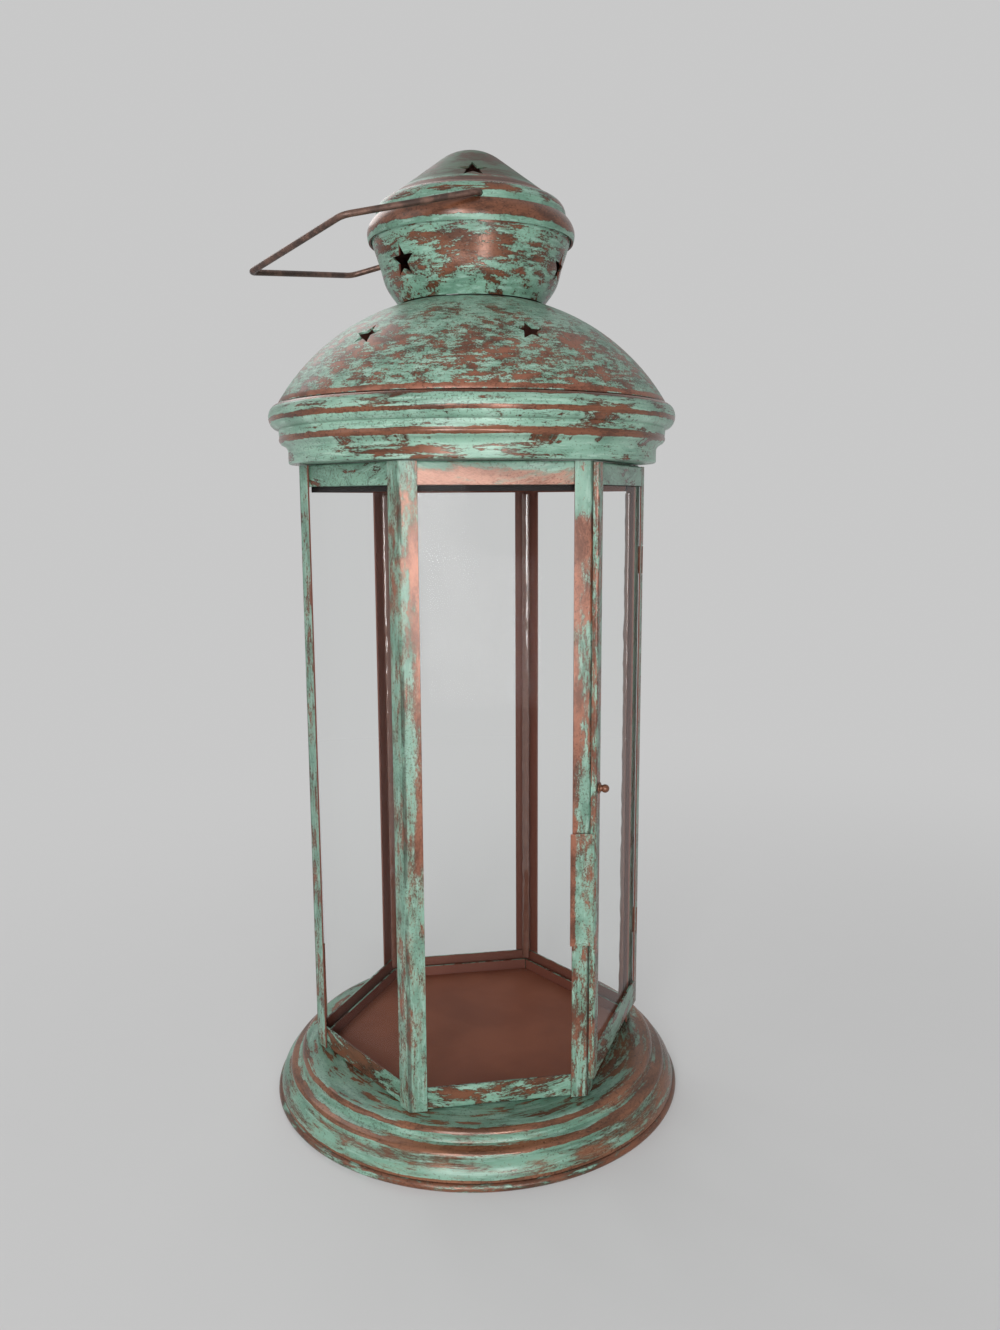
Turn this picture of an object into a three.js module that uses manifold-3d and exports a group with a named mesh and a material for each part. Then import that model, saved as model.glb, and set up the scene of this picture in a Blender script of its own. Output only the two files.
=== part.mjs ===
// A six-sided metal candle lantern: round stepped base, glazed cage with one hinged side, round
// cornice, domed roof with star cut-outs, flared cowl, small cap and a loose wire bail.
// Millimetres, +Z up. Heights are given from the table and shifted at the end, so that the origin
// is the centre of the candle floor. The front pane faces -Y.
import * as THREE from 'three';
import { mergeVertices } from 'three/addons/utils/BufferGeometryUtils.js';
import Module from 'manifold-3d';

const wasm = await Module();
wasm.setup();

// Fits and sheet
const GAP = 0.3; // between pieces that sit on or beside one another
const RUN = 0.15; // radial play of the door on its pin and of the bail in its holes
const SHEET = 0.8; // sheet metal
const PANE = 2; // glass
const FACETS = 36; // facets around the round pieces

// Base: copper roll on the table, pressed skirt with two steps, flat top
const BASE_R = 90;
const ROLL_HEIGHT = 3.4;
const ROLL_WIDTH = 3.4;
const SKIRT_TOP = 11.3;
const SKIRT_TOP_IN = 5.6; // how far inside the rim the skirt's bead stands
const STEP_TOP = 15.8;
const STEP_IN = 10.8;
const SHOULDER = 2.6;
const BASE_TOP = 19.6;
const BASE_HOLE_R = 46;

// Cage: hexagon of bent corner posts with channel rails
const CAGE_R = 72.4; // to the outer corners
const FLANGE = 7;
const LOW_RAIL = 9.2; // height of the lower rails' outer lip
const LOW_LIP = 5.5; // height of their inner lip
const TOP_RAIL = 8.6;
const TOP_LIP = 11; // their inner lip hangs lower than the outer one
const SOFFIT = 274.2; // underside of the cornice

// Door over the front-right opening
const DOOR_OFF = 0.3; // door back to cage face
const DOOR_DEPTH = 2.2;
const DOOR_PANE = 1;
const DOOR_OVERLAP = 0.8; // past the cage corner on the catch side
const DOOR_LOW = 28;
const STILE = 5.5;
const DOOR_TOP_RAIL = 8.5;
const DOOR_LOW_RAIL = 11.6;
const PIN_R = 0.5;
const KNUCKLE = 12; // height of a fixed hinge knuckle
const KNUCKLE_IN = 34; // from the door's ends to the knuckles
const LEAF = 0.4; // soldered tab of a knuckle
const LEAF_LONG = 2;
const KNOB_HEIGHT = 148.8;
const KNOB_R = 2.3;
const KNOB_OUT = 4.4;
const CATCH_LOW = 85;
const CATCH_TALL = 46;
const CATCH_LAP = 8;

// Cornice
const CORNICE_FOOT_R = 76.3;
const CORNICE_FOOT_TALL = 5.2;
const CORNICE_MID_R = 79.9;
const CORNICE_MID_TOP = 287.8;
const CORNICE_R = 83.8;
const CORNICE_TOP = 297.6;
const CORNICE_HOLE_R = 56;

// Dome: a ball's cap, its centre ring a little off the axis
const DOME_BALL = 88.5;
const DOME_RING = 3.85;
const DOME_FOOT_R = 79.6;
const DOME_UPSTAND = 0.8; // short upright foot on the cornice
const FLUE_R = 25;

// Cowl, its rolled rim and the cap
const COWL_FOOT_R = 29.7;
const COWL_TOP_R = 40.5;
const COWL_TALL = 25;
const RIM_OUT = 1.7; // rim's edge past the cowl's mouth
const RIM_DOWN = 3; // edge to lower end
const RIM_UP = 5.6; // edge to upper end
const RIM_LAP = 0.8; // lower end below the cowl's mouth
const CAP_IN = 1.9; // cap's band inside the cowl's mouth
const CAP_BAND = 6; // width and height of the rounded band
const CAP_STEP = 1.6; // rim's upper end to the band's foot
const CAP_SKIRT = 5.2; // plugged into the cowl's rim
const CAP_RISE = 25.7; // band foot to apex
const CAP_NOSE = 21; // rounding of the apex

// Stars
const STAR_R = 6.5;
const STAR_WAIST = 0.42;
const DOME_STARS = 6;
const DOME_STAR_TURN = 12.2;
const DOME_STAR_LEAN = 40.2;
const COWL_STARS = 3;
const COWL_STAR_TURN = -54.5;
const CAP_STARS = 3;
const CAP_STAR_TURN = -6;

// Bail
const WIRE_R = 1.25;
const BAIL_TURN = -3.4;
const BAIL_LEAN = 14; // below level
const BAIL_UP = 0.1; // holes above the band's foot
const BAIL_SHOULDER = 52.5; // half width at the shoulders
const BAIL_LEG = 51.7;
const BAIL_REACH = 91.8;
const BAIL_TIP = 12; // bent end that catches under the cap's roof

// Derived
const DEGREE = Math.PI / 180;
const APOTHEM = CAGE_R * Math.cos(30 * DEGREE);
const HALF = CAGE_R / 2;
const POST_LOW = BASE_TOP + GAP;
const POST_TOP = SOFFIT - GAP;
const FLOOR_TOP = BASE_TOP + GAP + SHEET;
const DOOR_OUT = DOOR_OFF + DOOR_DEPTH;
const DOOR_TOP = SOFFIT - 3 * GAP;
const DOOR_EDGE = -(HALF + DOOR_OVERLAP);
const BARREL_R = DOOR_DEPTH / 2;
const PIN_OUT = DOOR_OUT - BARREL_R;
const PIN_ALONG = HALF + DOOR_OVERLAP - BARREL_R;
const DOME_BASE = CORNICE_TOP + GAP + DOME_UPSTAND;
const DOME_HEART = DOME_BASE - Math.sqrt(DOME_BALL ** 2 - (DOME_FOOT_R - DOME_RING) ** 2);
const domeHeight = (r) => DOME_HEART + Math.sqrt(DOME_BALL ** 2 - (r - DOME_RING) ** 2);
const COWL_FOOT = domeHeight(COWL_FOOT_R - SHEET) + GAP;
const COWL_TOP = COWL_FOOT + COWL_TALL;
const RIM_R = COWL_TOP_R + RIM_OUT;
const CAP_R = COWL_TOP_R - CAP_IN;
const RIM_EDGE = COWL_TOP + RIM_DOWN - RIM_LAP;
const CAP_FOOT = RIM_EDGE + RIM_UP + CAP_STEP;
const BAIL_HOLE = CAP_FOOT + BAIL_UP;

const COLOURS = {
  patina: { color: 0x86b8a6, roughness: 0.62, metalness: 0.25 },
  copper: { color: 0x80503f, roughness: 0.42, metalness: 0.6 },
  inside: { color: 0x6a4233, roughness: 0.55, metalness: 0.4 },
  wire: { color: 0x5c4037, roughness: 0.4, metalness: 0.7 },
  glass: { color: 0xdfe8e4, roughness: 0.05, metalness: 0, transparent: true, opacity: 0.25 },
};
const lantern = new THREE.Group();
lantern.name = 'lantern';

function add(name, geometry, kind) {
  const shape = geometry.toNonIndexed();
  shape.translate(0, 0, -FLOOR_TOP);
  shape.computeVertexNormals();
  const mesh = new THREE.Mesh(shape, new THREE.MeshStandardMaterial(COLOURS[kind]));
  mesh.name = name;
  lantern.add(mesh);
}

// Weld a geometry's corners and drop the slivers this leaves at the axis of a turned piece.
function weld(geometry) {
  geometry.deleteAttribute('normal');
  geometry.deleteAttribute('uv');
  const welded = mergeVertices(geometry, 1e-4);
  const from = welded.index.array;
  const kept = [];
  for (let i = 0; i < from.length; i += 3) {
    const [a, b, c] = [from[i], from[i + 1], from[i + 2]];
    if (a !== b && b !== c && c !== a) kept.push(a, b, c);
  }
  welded.setIndex(kept);
  return outward(welded);
}

// Turn every face outwards, judged by the enclosed volume.
function outward(geometry) {
  const place = geometry.attributes.position;
  const index = Array.from(geometry.index.array);
  const [a, b, c] = [new THREE.Vector3(), new THREE.Vector3(), new THREE.Vector3()];
  let volume = 0;
  for (let i = 0; i < index.length; i += 3) {
    a.fromBufferAttribute(place, index[i]);
    b.fromBufferAttribute(place, index[i + 1]);
    c.fromBufferAttribute(place, index[i + 2]);
    volume += a.dot(b.cross(c));
  }
  if (volume < 0) geometry.setIndex(index.reverse());
  return geometry;
}

function toSolid(geometry) {
  const welded = weld(geometry.clone());
  return new wasm.Manifold(new wasm.Mesh({
    numProp: 3,
    vertProperties: Float32Array.from(welded.attributes.position.array),
    triVerts: Uint32Array.from(welded.index.array),
  }));
}

function toGeometry(solid) {
  const mesh = solid.getMesh();
  const geometry = new THREE.BufferGeometry();
  geometry.setAttribute('position', new THREE.BufferAttribute(mesh.vertProperties, 3));
  geometry.setIndex(Array.from(mesh.triVerts));
  return geometry;
}

function join(...pieces) {
  return toGeometry(pieces.map(toSolid).reduce((whole, piece) => whole.add(piece)));
}

function cut(body, tools) {
  const solids = tools.map(toSolid);
  return toGeometry(solids.reduce((whole, tool) => whole.subtract(tool), toSolid(body)));
}

// Outlines are lists of [x, y]. An arc may have unequal half axes.
function arc(x, y, rx, ry, from, to, steps) {
  return Array.from({ length: steps + 1 }, (unused, i) => {
    const angle = (from + ((to - from) * i) / steps) * DEGREE;
    return [x + rx * Math.cos(angle), y + ry * Math.sin(angle)];
  });
}

function bend(start, control, end, steps) {
  const points = [start, control, end].map((p) => new THREE.Vector2(...p));
  const curve = new THREE.QuadraticBezierCurve(...points);
  return curve.getPoints(steps).map((p) => [p.x, p.y]);
}

const ring = (x, y, r, steps) => arc(x, y, r, r, 0, 360, steps).slice(0, -1);

// Sheet of one thickness that follows a path, laid on the left of it; corners are mitred.
function sheet(path, thickness) {
  const far = path.map((point, i) => {
    const sides = [];
    if (i > 0) sides.push([path[i - 1], point]);
    if (i < path.length - 1) sides.push([point, path[i + 1]]);
    const normals = sides.map(([p, q]) => {
      const length = Math.hypot(q[0] - p[0], q[1] - p[1]);
      return [-(q[1] - p[1]) / length, (q[0] - p[0]) / length];
    });
    const sum = [0, 1].map((k) => normals.reduce((total, n) => total + n[k], 0) / normals.length);
    const reach = Math.max(sum[0] ** 2 + sum[1] ** 2, 0.3);
    return [point[0] + (thickness * sum[0]) / reach, point[1] + (thickness * sum[1]) / reach];
  });
  return [...path, ...far.reverse()];
}

// Round piece from a closed outline of [radius, height]; one that starts and ends on the axis is
// left open there.
function turned(outline) {
  const onAxis = outline[0][0] === 0;
  const points = outline.map(([r, h]) => new THREE.Vector2(r, h));
  if (!onAxis) points.push(points[0].clone());
  const geometry = new THREE.LatheGeometry(points, FACETS);
  geometry.rotateX(Math.PI / 2);
  return weld(geometry);
}

// Upright prism over a plan outline of [x, y].
function prism(outline, low, high) {
  const shape = new THREE.Shape(outline.map(([x, y]) => new THREE.Vector2(x, y)));
  const geometry = new THREE.ExtrudeGeometry(shape, { depth: high - low, bevelEnabled: false });
  geometry.translate(0, 0, low);
  return weld(geometry);
}

// A cage side is named by its outward direction, counted from the front towards the right.
const outwards = (side) => [Math.sin(side * DEGREE), -Math.cos(side * DEGREE)];
const sideways = (side) => [Math.cos(side * DEGREE), Math.sin(side * DEGREE)];

function onSide(side, along, out) {
  const n = outwards(side);
  const t = sideways(side);
  return [0, 1].map((k) => n[k] * (APOTHEM + out) + t[k] * along);
}

const sidePlan = (side, outline) => outline.map(([along, out]) => onSide(side, along, out));

// Bar along a cage side from a section of [out, height], cut at each end where the two rules say.
function bar(side, outline, start, end) {
  const drawn = outline.map(([out, h]) => new THREE.Vector2(out, h));
  const section = THREE.ShapeUtils.isClockWise(drawn) ? [...outline].reverse() : outline;
  const corners = [start, end].flatMap((rule) => (
    section.map(([out, h]) => [...onSide(side, rule(out), out), h])
  ));
  const count = section.length;
  const faces = [];
  for (let i = 0; i < count; i += 1) {
    const next = (i + 1) % count;
    faces.push(i, next, next + count, i, next + count, i + count);
  }
  const flat = section.map(([out, h]) => new THREE.Vector2(out, h));
  for (const [a, b, c] of THREE.ShapeUtils.triangulateShape(flat, [])) {
    faces.push(a, c, b, a + count, b + count, c + count);
  }
  const geometry = new THREE.BufferGeometry();
  geometry.setAttribute('position', new THREE.Float32BufferAttribute(corners.flat(), 3));
  geometry.setIndex(faces);
  return outward(geometry);
}

const mitre = (out) => (APOTHEM + out) * Math.tan(30 * DEGREE) - GAP / 2 / Math.cos(30 * DEGREE);
const fixed = (along) => () => along;

function turnPoint(turn, r, h) {
  const [x, y] = outwards(turn);
  return new THREE.Vector3(r * x, r * y, h);
}

// Star punch across a wall: centre at a radius and height, pushed along a slope above level.
function starPunch(turn, r, h, slope) {
  const shape = new THREE.Shape(Array.from({ length: 10 }, (unused, i) => {
    const reach = i % 2 ? STAR_R * STAR_WAIST : STAR_R;
    const angle = i * 36 * DEGREE;
    return new THREE.Vector2(-reach * Math.sin(angle), reach * Math.cos(angle));
  }));
  const geometry = new THREE.ExtrudeGeometry(shape, { depth: 8, bevelEnabled: false });
  geometry.translate(0, 0, -4);
  const across = new THREE.Vector3(...sideways(turn), 0);
  const level = new THREE.Vector3(...outwards(turn), 0);
  const push = level.clone().multiplyScalar(Math.cos(slope));
  push.z = Math.sin(slope);
  const up = new THREE.Vector3().crossVectors(push, across);
  const place = new THREE.Matrix4().makeBasis(across, up, push);
  place.setPosition(turnPoint(turn, r, h));
  geometry.applyMatrix4(place);
  return geometry;
}

function starPunches(count, turn, r, h, slope) {
  return Array.from({ length: count }, (unused, i) => (
    starPunch(turn + (360 / count) * i, r, h, slope)
  ));
}

// Base
const rollIn = BASE_R - ROLL_WIDTH;
add('base_roll', turned([
  [rollIn, 0],
  ...arc(BASE_R - ROLL_HEIGHT / 2, ROLL_HEIGHT / 2, ROLL_HEIGHT / 2, ROLL_HEIGHT / 2, -90, 90, 5),
  [rollIn, ROLL_HEIGHT],
]), 'copper');

const beadR = BASE_R - SKIRT_TOP_IN;
const stepR = BASE_R - STEP_IN;
add('base', turned(sheet([
  [BASE_R - 1.4, ROLL_HEIGHT + GAP],
  ...bend([BASE_R - 1.5, ROLL_HEIGHT + 0.9], [BASE_R - 2.2, SKIRT_TOP - 2.4], [beadR, SKIRT_TOP], 3),
  ...arc(beadR - 2, SKIRT_TOP, 2, 2.2, 25, 80, 2),
  [stepR + 0.6, STEP_TOP - 1.2],
  [stepR, STEP_TOP],
  ...arc(stepR - SHOULDER, BASE_TOP - SHOULDER, SHOULDER, SHOULDER, 0, 90, 3),
  [BASE_HOLE_R, BASE_TOP],
], SHEET)), 'patina');

// Channel rails hold the panes: outer lip, web and inner lip
const LIP_OUT = -SHEET - GAP;
const PANE_OUT = LIP_OUT - SHEET - GAP;
const LIP_IN = PANE_OUT - PANE - GAP - SHEET;
const lowPath = [
  [LIP_IN, POST_LOW + LOW_LIP],
  [LIP_IN, POST_LOW],
  [LIP_OUT, POST_LOW],
  [LIP_OUT, POST_LOW + LOW_RAIL],
];
const topPath = [
  [LIP_OUT, POST_TOP - TOP_RAIL],
  [LIP_OUT, POST_TOP],
  [LIP_IN, POST_TOP],
  [LIP_IN, POST_TOP - TOP_LIP],
];
const SIDES = { front: 0, back_right: 120, back: 180, back_left: 240, front_left: 300 };
const DOOR_SIDE = 60;

const floorR = (APOTHEM + LIP_IN - GAP) / Math.cos(30 * DEGREE);
add('floor_plate', prism(arc(0, 0, floorR, floorR, 0, 300, 5), POST_LOW, FLOOR_TOP), 'inside');

for (const [name, side] of Object.entries(SIDES)) {
  const paneHalf = mitre(PANE_OUT - PANE) - GAP;
  const paneLow = POST_LOW + SHEET + GAP;
  const paneHigh = POST_TOP - SHEET - GAP;
  const paneIn = PANE_OUT - PANE;
  const pane = [[PANE_OUT, paneLow], [paneIn, paneLow], [paneIn, paneHigh], [PANE_OUT, paneHigh]];
  add(`rail_low_${name}`, bar(side, sheet(lowPath, SHEET), (out) => -mitre(out), mitre), 'patina');
  add(`rail_top_${name}`, bar(side, sheet(topPath, SHEET), (out) => -mitre(out), mitre), 'patina');
  add(`pane_${name}`, bar(side, pane, fixed(-paneHalf), fixed(paneHalf)), 'glass');
}
const sillPath = lowPath.slice(1);
const lintelPath = topPath.slice(0, -1);
add('sill', bar(DOOR_SIDE, sheet(sillPath, SHEET), (out) => -mitre(out), mitre), 'patina');
add('lintel', bar(DOOR_SIDE, sheet(lintelPath, SHEET), (out) => -mitre(out), mitre), 'patina');

// Corner posts: one bend, a flange on each side
const POSTS = {
  front_right: 30, right: 90, back_right: 150, back_left: 210, left: 270, front_left: 330,
};
for (const [name, corner] of Object.entries(POSTS)) {
  const path = [
    onSide(corner - 30, HALF - FLANGE, 0),
    onSide(corner - 30, HALF, 0),
    onSide(corner + 30, FLANGE - HALF, 0),
  ];
  add(`post_${name}`, prism(sheet(path, SHEET), POST_LOW, POST_TOP), 'patina');
}

// Door: an edge return on the catch stile, a rolled barrel on the hinge stile
const stileIn = DOOR_EDGE + STILE;
const hingeIn = -stileIn;
const barrelIn = PIN_ALONG - BARREL_R - 1.2;
const catchPath = [[stileIn, DOOR_OUT], [DOOR_EDGE, DOOR_OUT], [DOOR_EDGE, DOOR_OFF]];
const catchPlan = sidePlan(DOOR_SIDE, sheet(catchPath, SHEET));
add('door_stile_catch', prism(catchPlan, DOOR_LOW, DOOR_TOP), 'patina');

const flangeTurn = Math.asin((BARREL_R - SHEET) / BARREL_R) / DEGREE;
const barrel = [
  [hingeIn, DOOR_OUT],
  ...arc(PIN_ALONG, PIN_OUT, BARREL_R, BARREL_R, 90, flangeTurn - 180, 10),
  ...arc(PIN_ALONG, PIN_OUT, BARREL_R, BARREL_R, 178, 180 - flangeTurn, 2),
  [hingeIn, DOOR_OUT - SHEET],
];

function onPin(r, low, high) {
  return prism(sidePlan(DOOR_SIDE, ring(PIN_ALONG, PIN_OUT, r, 16)), low, high);
}
const knuckleLows = [DOOR_LOW + KNUCKLE_IN, DOOR_TOP - KNUCKLE_IN - KNUCKLE];
const notches = knuckleLows.map((low) => {
  const far = HALF + 9;
  const box = [[barrelIn, -9], [far, -9], [far, DOOR_OUT + 9], [barrelIn, DOOR_OUT + 9]];
  return prism(sidePlan(DOOR_SIDE, box), low - GAP, low + KNUCKLE + GAP);
});
const bore = onPin(PIN_R + RUN, DOOR_LOW - 5, DOOR_TOP + 5);
const hingeBlank = prism(sidePlan(DOOR_SIDE, barrel), DOOR_LOW, DOOR_TOP);
add('door_stile_hinge', cut(hingeBlank, [...notches, bore]), 'patina');
add('hinge_pin', onPin(PIN_R, DOOR_LOW, DOOR_TOP), 'wire');
knuckleLows.forEach((low, i) => {
  const high = low + KNUCKLE;
  const tab = PIN_ALONG - LEAF_LONG;
  const leaf = [[tab, GAP], [PIN_ALONG, GAP], [PIN_ALONG, GAP + LEAF], [tab, GAP + LEAF]];
  const blank = join(onPin(BARREL_R, low, high), prism(sidePlan(DOOR_SIDE, leaf), low, high));
  const knuckle = cut(blank, [onPin(PIN_R + RUN, low - 1, high + 1)]);
  add(i ? 'hinge_knuckle_top' : 'hinge_knuckle_low', knuckle, 'copper');
});

const railStart = fixed(stileIn + GAP);
const railEnd = fixed(hingeIn - GAP);
const doorLowPath = [[DOOR_OFF, DOOR_LOW], [DOOR_OUT, DOOR_LOW], [DOOR_OUT, DOOR_LOW + DOOR_LOW_RAIL]];
const doorTopPath = [[DOOR_OUT, DOOR_TOP - DOOR_TOP_RAIL], [DOOR_OUT, DOOR_TOP], [DOOR_OFF, DOOR_TOP]];
add('door_rail_low', bar(DOOR_SIDE, sheet(doorLowPath, SHEET), railStart, railEnd), 'patina');
add('door_rail_top', bar(DOOR_SIDE, sheet(doorTopPath, SHEET), railStart, railEnd), 'patina');
const doorPaneOut = DOOR_OUT - SHEET - GAP;
const doorPane = [
  [doorPaneOut, DOOR_LOW + SHEET + GAP],
  [doorPaneOut - DOOR_PANE, DOOR_LOW + SHEET + GAP],
  [doorPaneOut - DOOR_PANE, DOOR_TOP - SHEET - GAP],
  [doorPaneOut, DOOR_TOP - SHEET - GAP],
];
const paneStart = fixed(DOOR_EDGE + SHEET + GAP);
const paneEnd = fixed(PIN_ALONG - LEAF_LONG - GAP);
add('door_pane', bar(DOOR_SIDE, doorPane, paneStart, paneEnd), 'glass');

// Knob: a flared foot, a neck and a round head, standing out from the catch stile
const knob = turned([
  [0, GAP],
  [KNOB_R, GAP],
  [KNOB_R, GAP + 0.5],
  [KNOB_R * 0.45, GAP + 1.5],
  ...arc(0, KNOB_OUT - KNOB_R * 0.72, KNOB_R * 0.72, KNOB_R * 0.72, -48, 90, 6).slice(0, -1),
  [0, KNOB_OUT],
]);
const knobPlace = onSide(DOOR_SIDE, DOOR_EDGE + STILE / 2, DOOR_OUT);
const doorward = new THREE.Vector3(...outwards(DOOR_SIDE), 0);
const doorAcross = new THREE.Vector3(...sideways(DOOR_SIDE), 0);
const doorUp = new THREE.Vector3().crossVectors(doorward, doorAcross);
const knobFacing = new THREE.Matrix4().makeBasis(doorAcross, doorUp, doorward);
knob.applyMatrix4(knobFacing.setPosition(...knobPlace, KNOB_HEIGHT));
add('door_knob', knob, 'copper');

// Catch: a spring plate on the front-right post, bent to lie along the door's edge
const catchFrom = onSide(0, HALF - CATCH_LAP, GAP);
const catchLine = onSide(DOOR_SIDE, DOOR_EDGE - GAP, 0);
const along = sideways(0);
const away = outwards(DOOR_SIDE);
const offset = [catchLine[0] - catchFrom[0], catchLine[1] - catchFrom[1]];
const spread = along[0] * away[1] - along[1] * away[0];
const reach = (offset[0] * away[1] - offset[1] * away[0]) / spread;
const catchBend = [catchFrom[0] + along[0] * reach, catchFrom[1] + along[1] * reach];
const catchTip = onSide(DOOR_SIDE, DOOR_EDGE - GAP, DOOR_OUT - GAP);
const springPlan = sheet([catchTip, catchBend, catchFrom], SHEET);
add('catch_spring', prism(springPlan, CATCH_LOW, CATCH_LOW + CATCH_TALL), 'patina');

// Cornice
const footTop = SOFFIT + CORNICE_FOOT_TALL;
const beadWide = CORNICE_R - CORNICE_MID_R;
const beadHalf = (CORNICE_TOP - CORNICE_MID_TOP) / 2;
add('cornice', turned(sheet([
  [CORNICE_HOLE_R, SOFFIT],
  [CORNICE_FOOT_R - 0.7, SOFFIT],
  [CORNICE_FOOT_R, SOFFIT + 0.7],
  ...bend(
    [CORNICE_FOOT_R, footTop],
    [CORNICE_FOOT_R + 0.4, footTop + 1.8],
    [CORNICE_MID_R - 1, footTop + 2.6],
    3,
  ),
  ...arc(CORNICE_MID_R - 1.5, footTop + 4.4, 1.5, 1.6, -50, 30, 2),
  [CORNICE_MID_R, CORNICE_MID_TOP],
  ...arc(CORNICE_MID_R, CORNICE_MID_TOP + beadHalf, beadWide, beadHalf, -68, 72, 5),
  [DOME_FOOT_R + GAP, CORNICE_TOP],
  [DOME_FOOT_R - 5, CORNICE_TOP],
], SHEET)), 'patina');

// Dome with its stars
const domeSteps = 8;
const domeFrom = Math.asin((DOME_FOOT_R - DOME_RING) / DOME_BALL) / DEGREE;
const domeTo = Math.asin((FLUE_R - DOME_RING) / DOME_BALL) / DEGREE;
const domePath = [
  [DOME_FOOT_R, CORNICE_TOP + GAP],
  ...arc(DOME_RING, DOME_HEART, DOME_BALL, DOME_BALL, 90 - domeFrom, 90 - domeTo, domeSteps),
];
const domeStarR = DOME_RING + DOME_BALL * Math.sin(DOME_STAR_LEAN * DEGREE);
const domeStarH = domeHeight(domeStarR);
const domeStarPush = (90 - DOME_STAR_LEAN) * DEGREE;
const domePunches = starPunches(DOME_STARS, DOME_STAR_TURN, domeStarR, domeStarH, domeStarPush);
add('dome', cut(turned(sheet(domePath, SHEET)), domePunches), 'patina');

// Cowl: a cup that widens upwards and tucks into the rolled rim
const cowlLine = new THREE.SplineCurve([
  [COWL_FOOT_R, COWL_FOOT],
  [COWL_FOOT_R + 5.1, COWL_FOOT + 0.29 * COWL_TALL],
  [COWL_FOOT_R + 7.5, COWL_FOOT + 0.6 * COWL_TALL],
  [COWL_TOP_R, COWL_TOP],
].map((p) => new THREE.Vector2(...p)));
const cowlPath = cowlLine.getPoints(7).map((p) => [p.x, p.y]);
const cowlStarAt = cowlLine.getPoint(0.6);
const cowlStarWay = cowlLine.getTangent(0.6);
const cowlStarPush = -Math.atan2(cowlStarWay.x, cowlStarWay.y);
const cowlPunches = starPunches(COWL_STARS, COWL_STAR_TURN, cowlStarAt.x, cowlStarAt.y, cowlStarPush);
add('cowl', cut(turned(sheet(cowlPath, SHEET)), cowlPunches), 'patina');

// Rim: tucked over the cowl's top, out to its edge and sloping in to the cap
const rimLow = [COWL_TOP_R + GAP + SHEET, RIM_EDGE - RIM_DOWN];
const rimHigh = [CAP_R + GAP + SHEET, RIM_EDGE + RIM_UP];
const rimPath = [
  ...bend(rimLow, [RIM_R, RIM_EDGE - RIM_DOWN / 2], [RIM_R, RIM_EDGE], 3),
  ...bend([RIM_R, RIM_EDGE], [RIM_R, RIM_EDGE + RIM_UP / 2], rimHigh, 4).slice(1),
];
add('cowl_rim', turned(sheet(rimPath, SHEET)), 'copper');

// Cap: rounded nose, straight cone, a crease, a rounded band and a plain skirt inside the rim
const bandIn = CAP_R - CAP_BAND;
const bandTop = CAP_FOOT + CAP_BAND;
const creaseTop = bandTop + 0.7;
const coneRise = CAP_FOOT + CAP_RISE - creaseTop;
let capSlope = 35;
for (let i = 0; i < 20; i += 1) {
  const noseR = CAP_NOSE * Math.sin(capSlope * DEGREE);
  const noseDrop = CAP_NOSE * (1 - Math.cos(capSlope * DEGREE));
  capSlope = Math.atan2(coneRise - noseDrop, bandIn - noseR) / DEGREE;
}
const apex = CAP_FOOT + CAP_RISE;
const capOutside = [
  [CAP_R, CAP_FOOT - CAP_SKIRT],
  ...arc(bandIn, CAP_FOOT, CAP_BAND, CAP_BAND, 0, 80, 3),
  [bandIn, creaseTop],
  ...arc(0, apex - CAP_NOSE, CAP_NOSE, CAP_NOSE, 90 - capSlope, 90, 3).slice(0, -1),
];
const capInside = sheet([...capOutside, [0, apex]], SHEET).slice(capOutside.length + 1);
capInside[0] = [0, apex - SHEET];
const capStarR = bandIn - 0.24 * bandIn;
const capStarH = creaseTop + (bandIn - capStarR) * Math.tan(capSlope * DEGREE);
const capPunches = starPunches(CAP_STARS, CAP_STAR_TURN, capStarR, capStarH, (90 - capSlope) * DEGREE);
const bailAxis = new THREE.Vector3(...outwards(BAIL_TURN), 0);
const bailHoles = [1, -1].map((end) => {
  const punch = new THREE.CylinderGeometry(WIRE_R + RUN, WIRE_R + RUN, 14, 16);
  const lie = new THREE.Quaternion().setFromUnitVectors(new THREE.Vector3(0, 1, 0), bailAxis);
  punch.applyQuaternion(lie);
  punch.translate(end * bailAxis.x * CAP_R, end * bailAxis.y * CAP_R, BAIL_HOLE);
  return punch;
});
const capShell = turned([[0, apex], ...[...capOutside].reverse(), ...[...capInside].reverse()]);
add('cap', cut(capShell, [...capPunches, ...bailHoles]), 'patina');

// Bail: one wire, pointed at the middle; both ends pass through the cap's band and are bent over
// inside
const bailStart = CAP_R + WIRE_R + 2 * GAP;
const bailOut = new THREE.Vector3(...sideways(BAIL_TURN), 0);
bailOut.multiplyScalar(-Math.cos(BAIL_LEAN * DEGREE));
bailOut.z = -Math.sin(BAIL_LEAN * DEGREE);

function bailPoint(side, far) {
  const point = new THREE.Vector3(0, 0, BAIL_HOLE);
  return point.addScaledVector(bailAxis, side).addScaledVector(bailOut, far);
}

const bailCorners = [
  [bandIn + 0.4, -BAIL_TIP, 0],
  [bandIn + 0.4, 0, 1.8],
  [bailStart, 0, 2.6],
  [BAIL_SHOULDER, BAIL_LEG, 3.5],
  [0, BAIL_REACH, 3],
  [-BAIL_SHOULDER, BAIL_LEG, 3.5],
  [-bailStart, 0, 2.6],
  [-bandIn - 0.4, 0, 1.8],
  [-bandIn - 0.4, -BAIL_TIP, 0],
];

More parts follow.
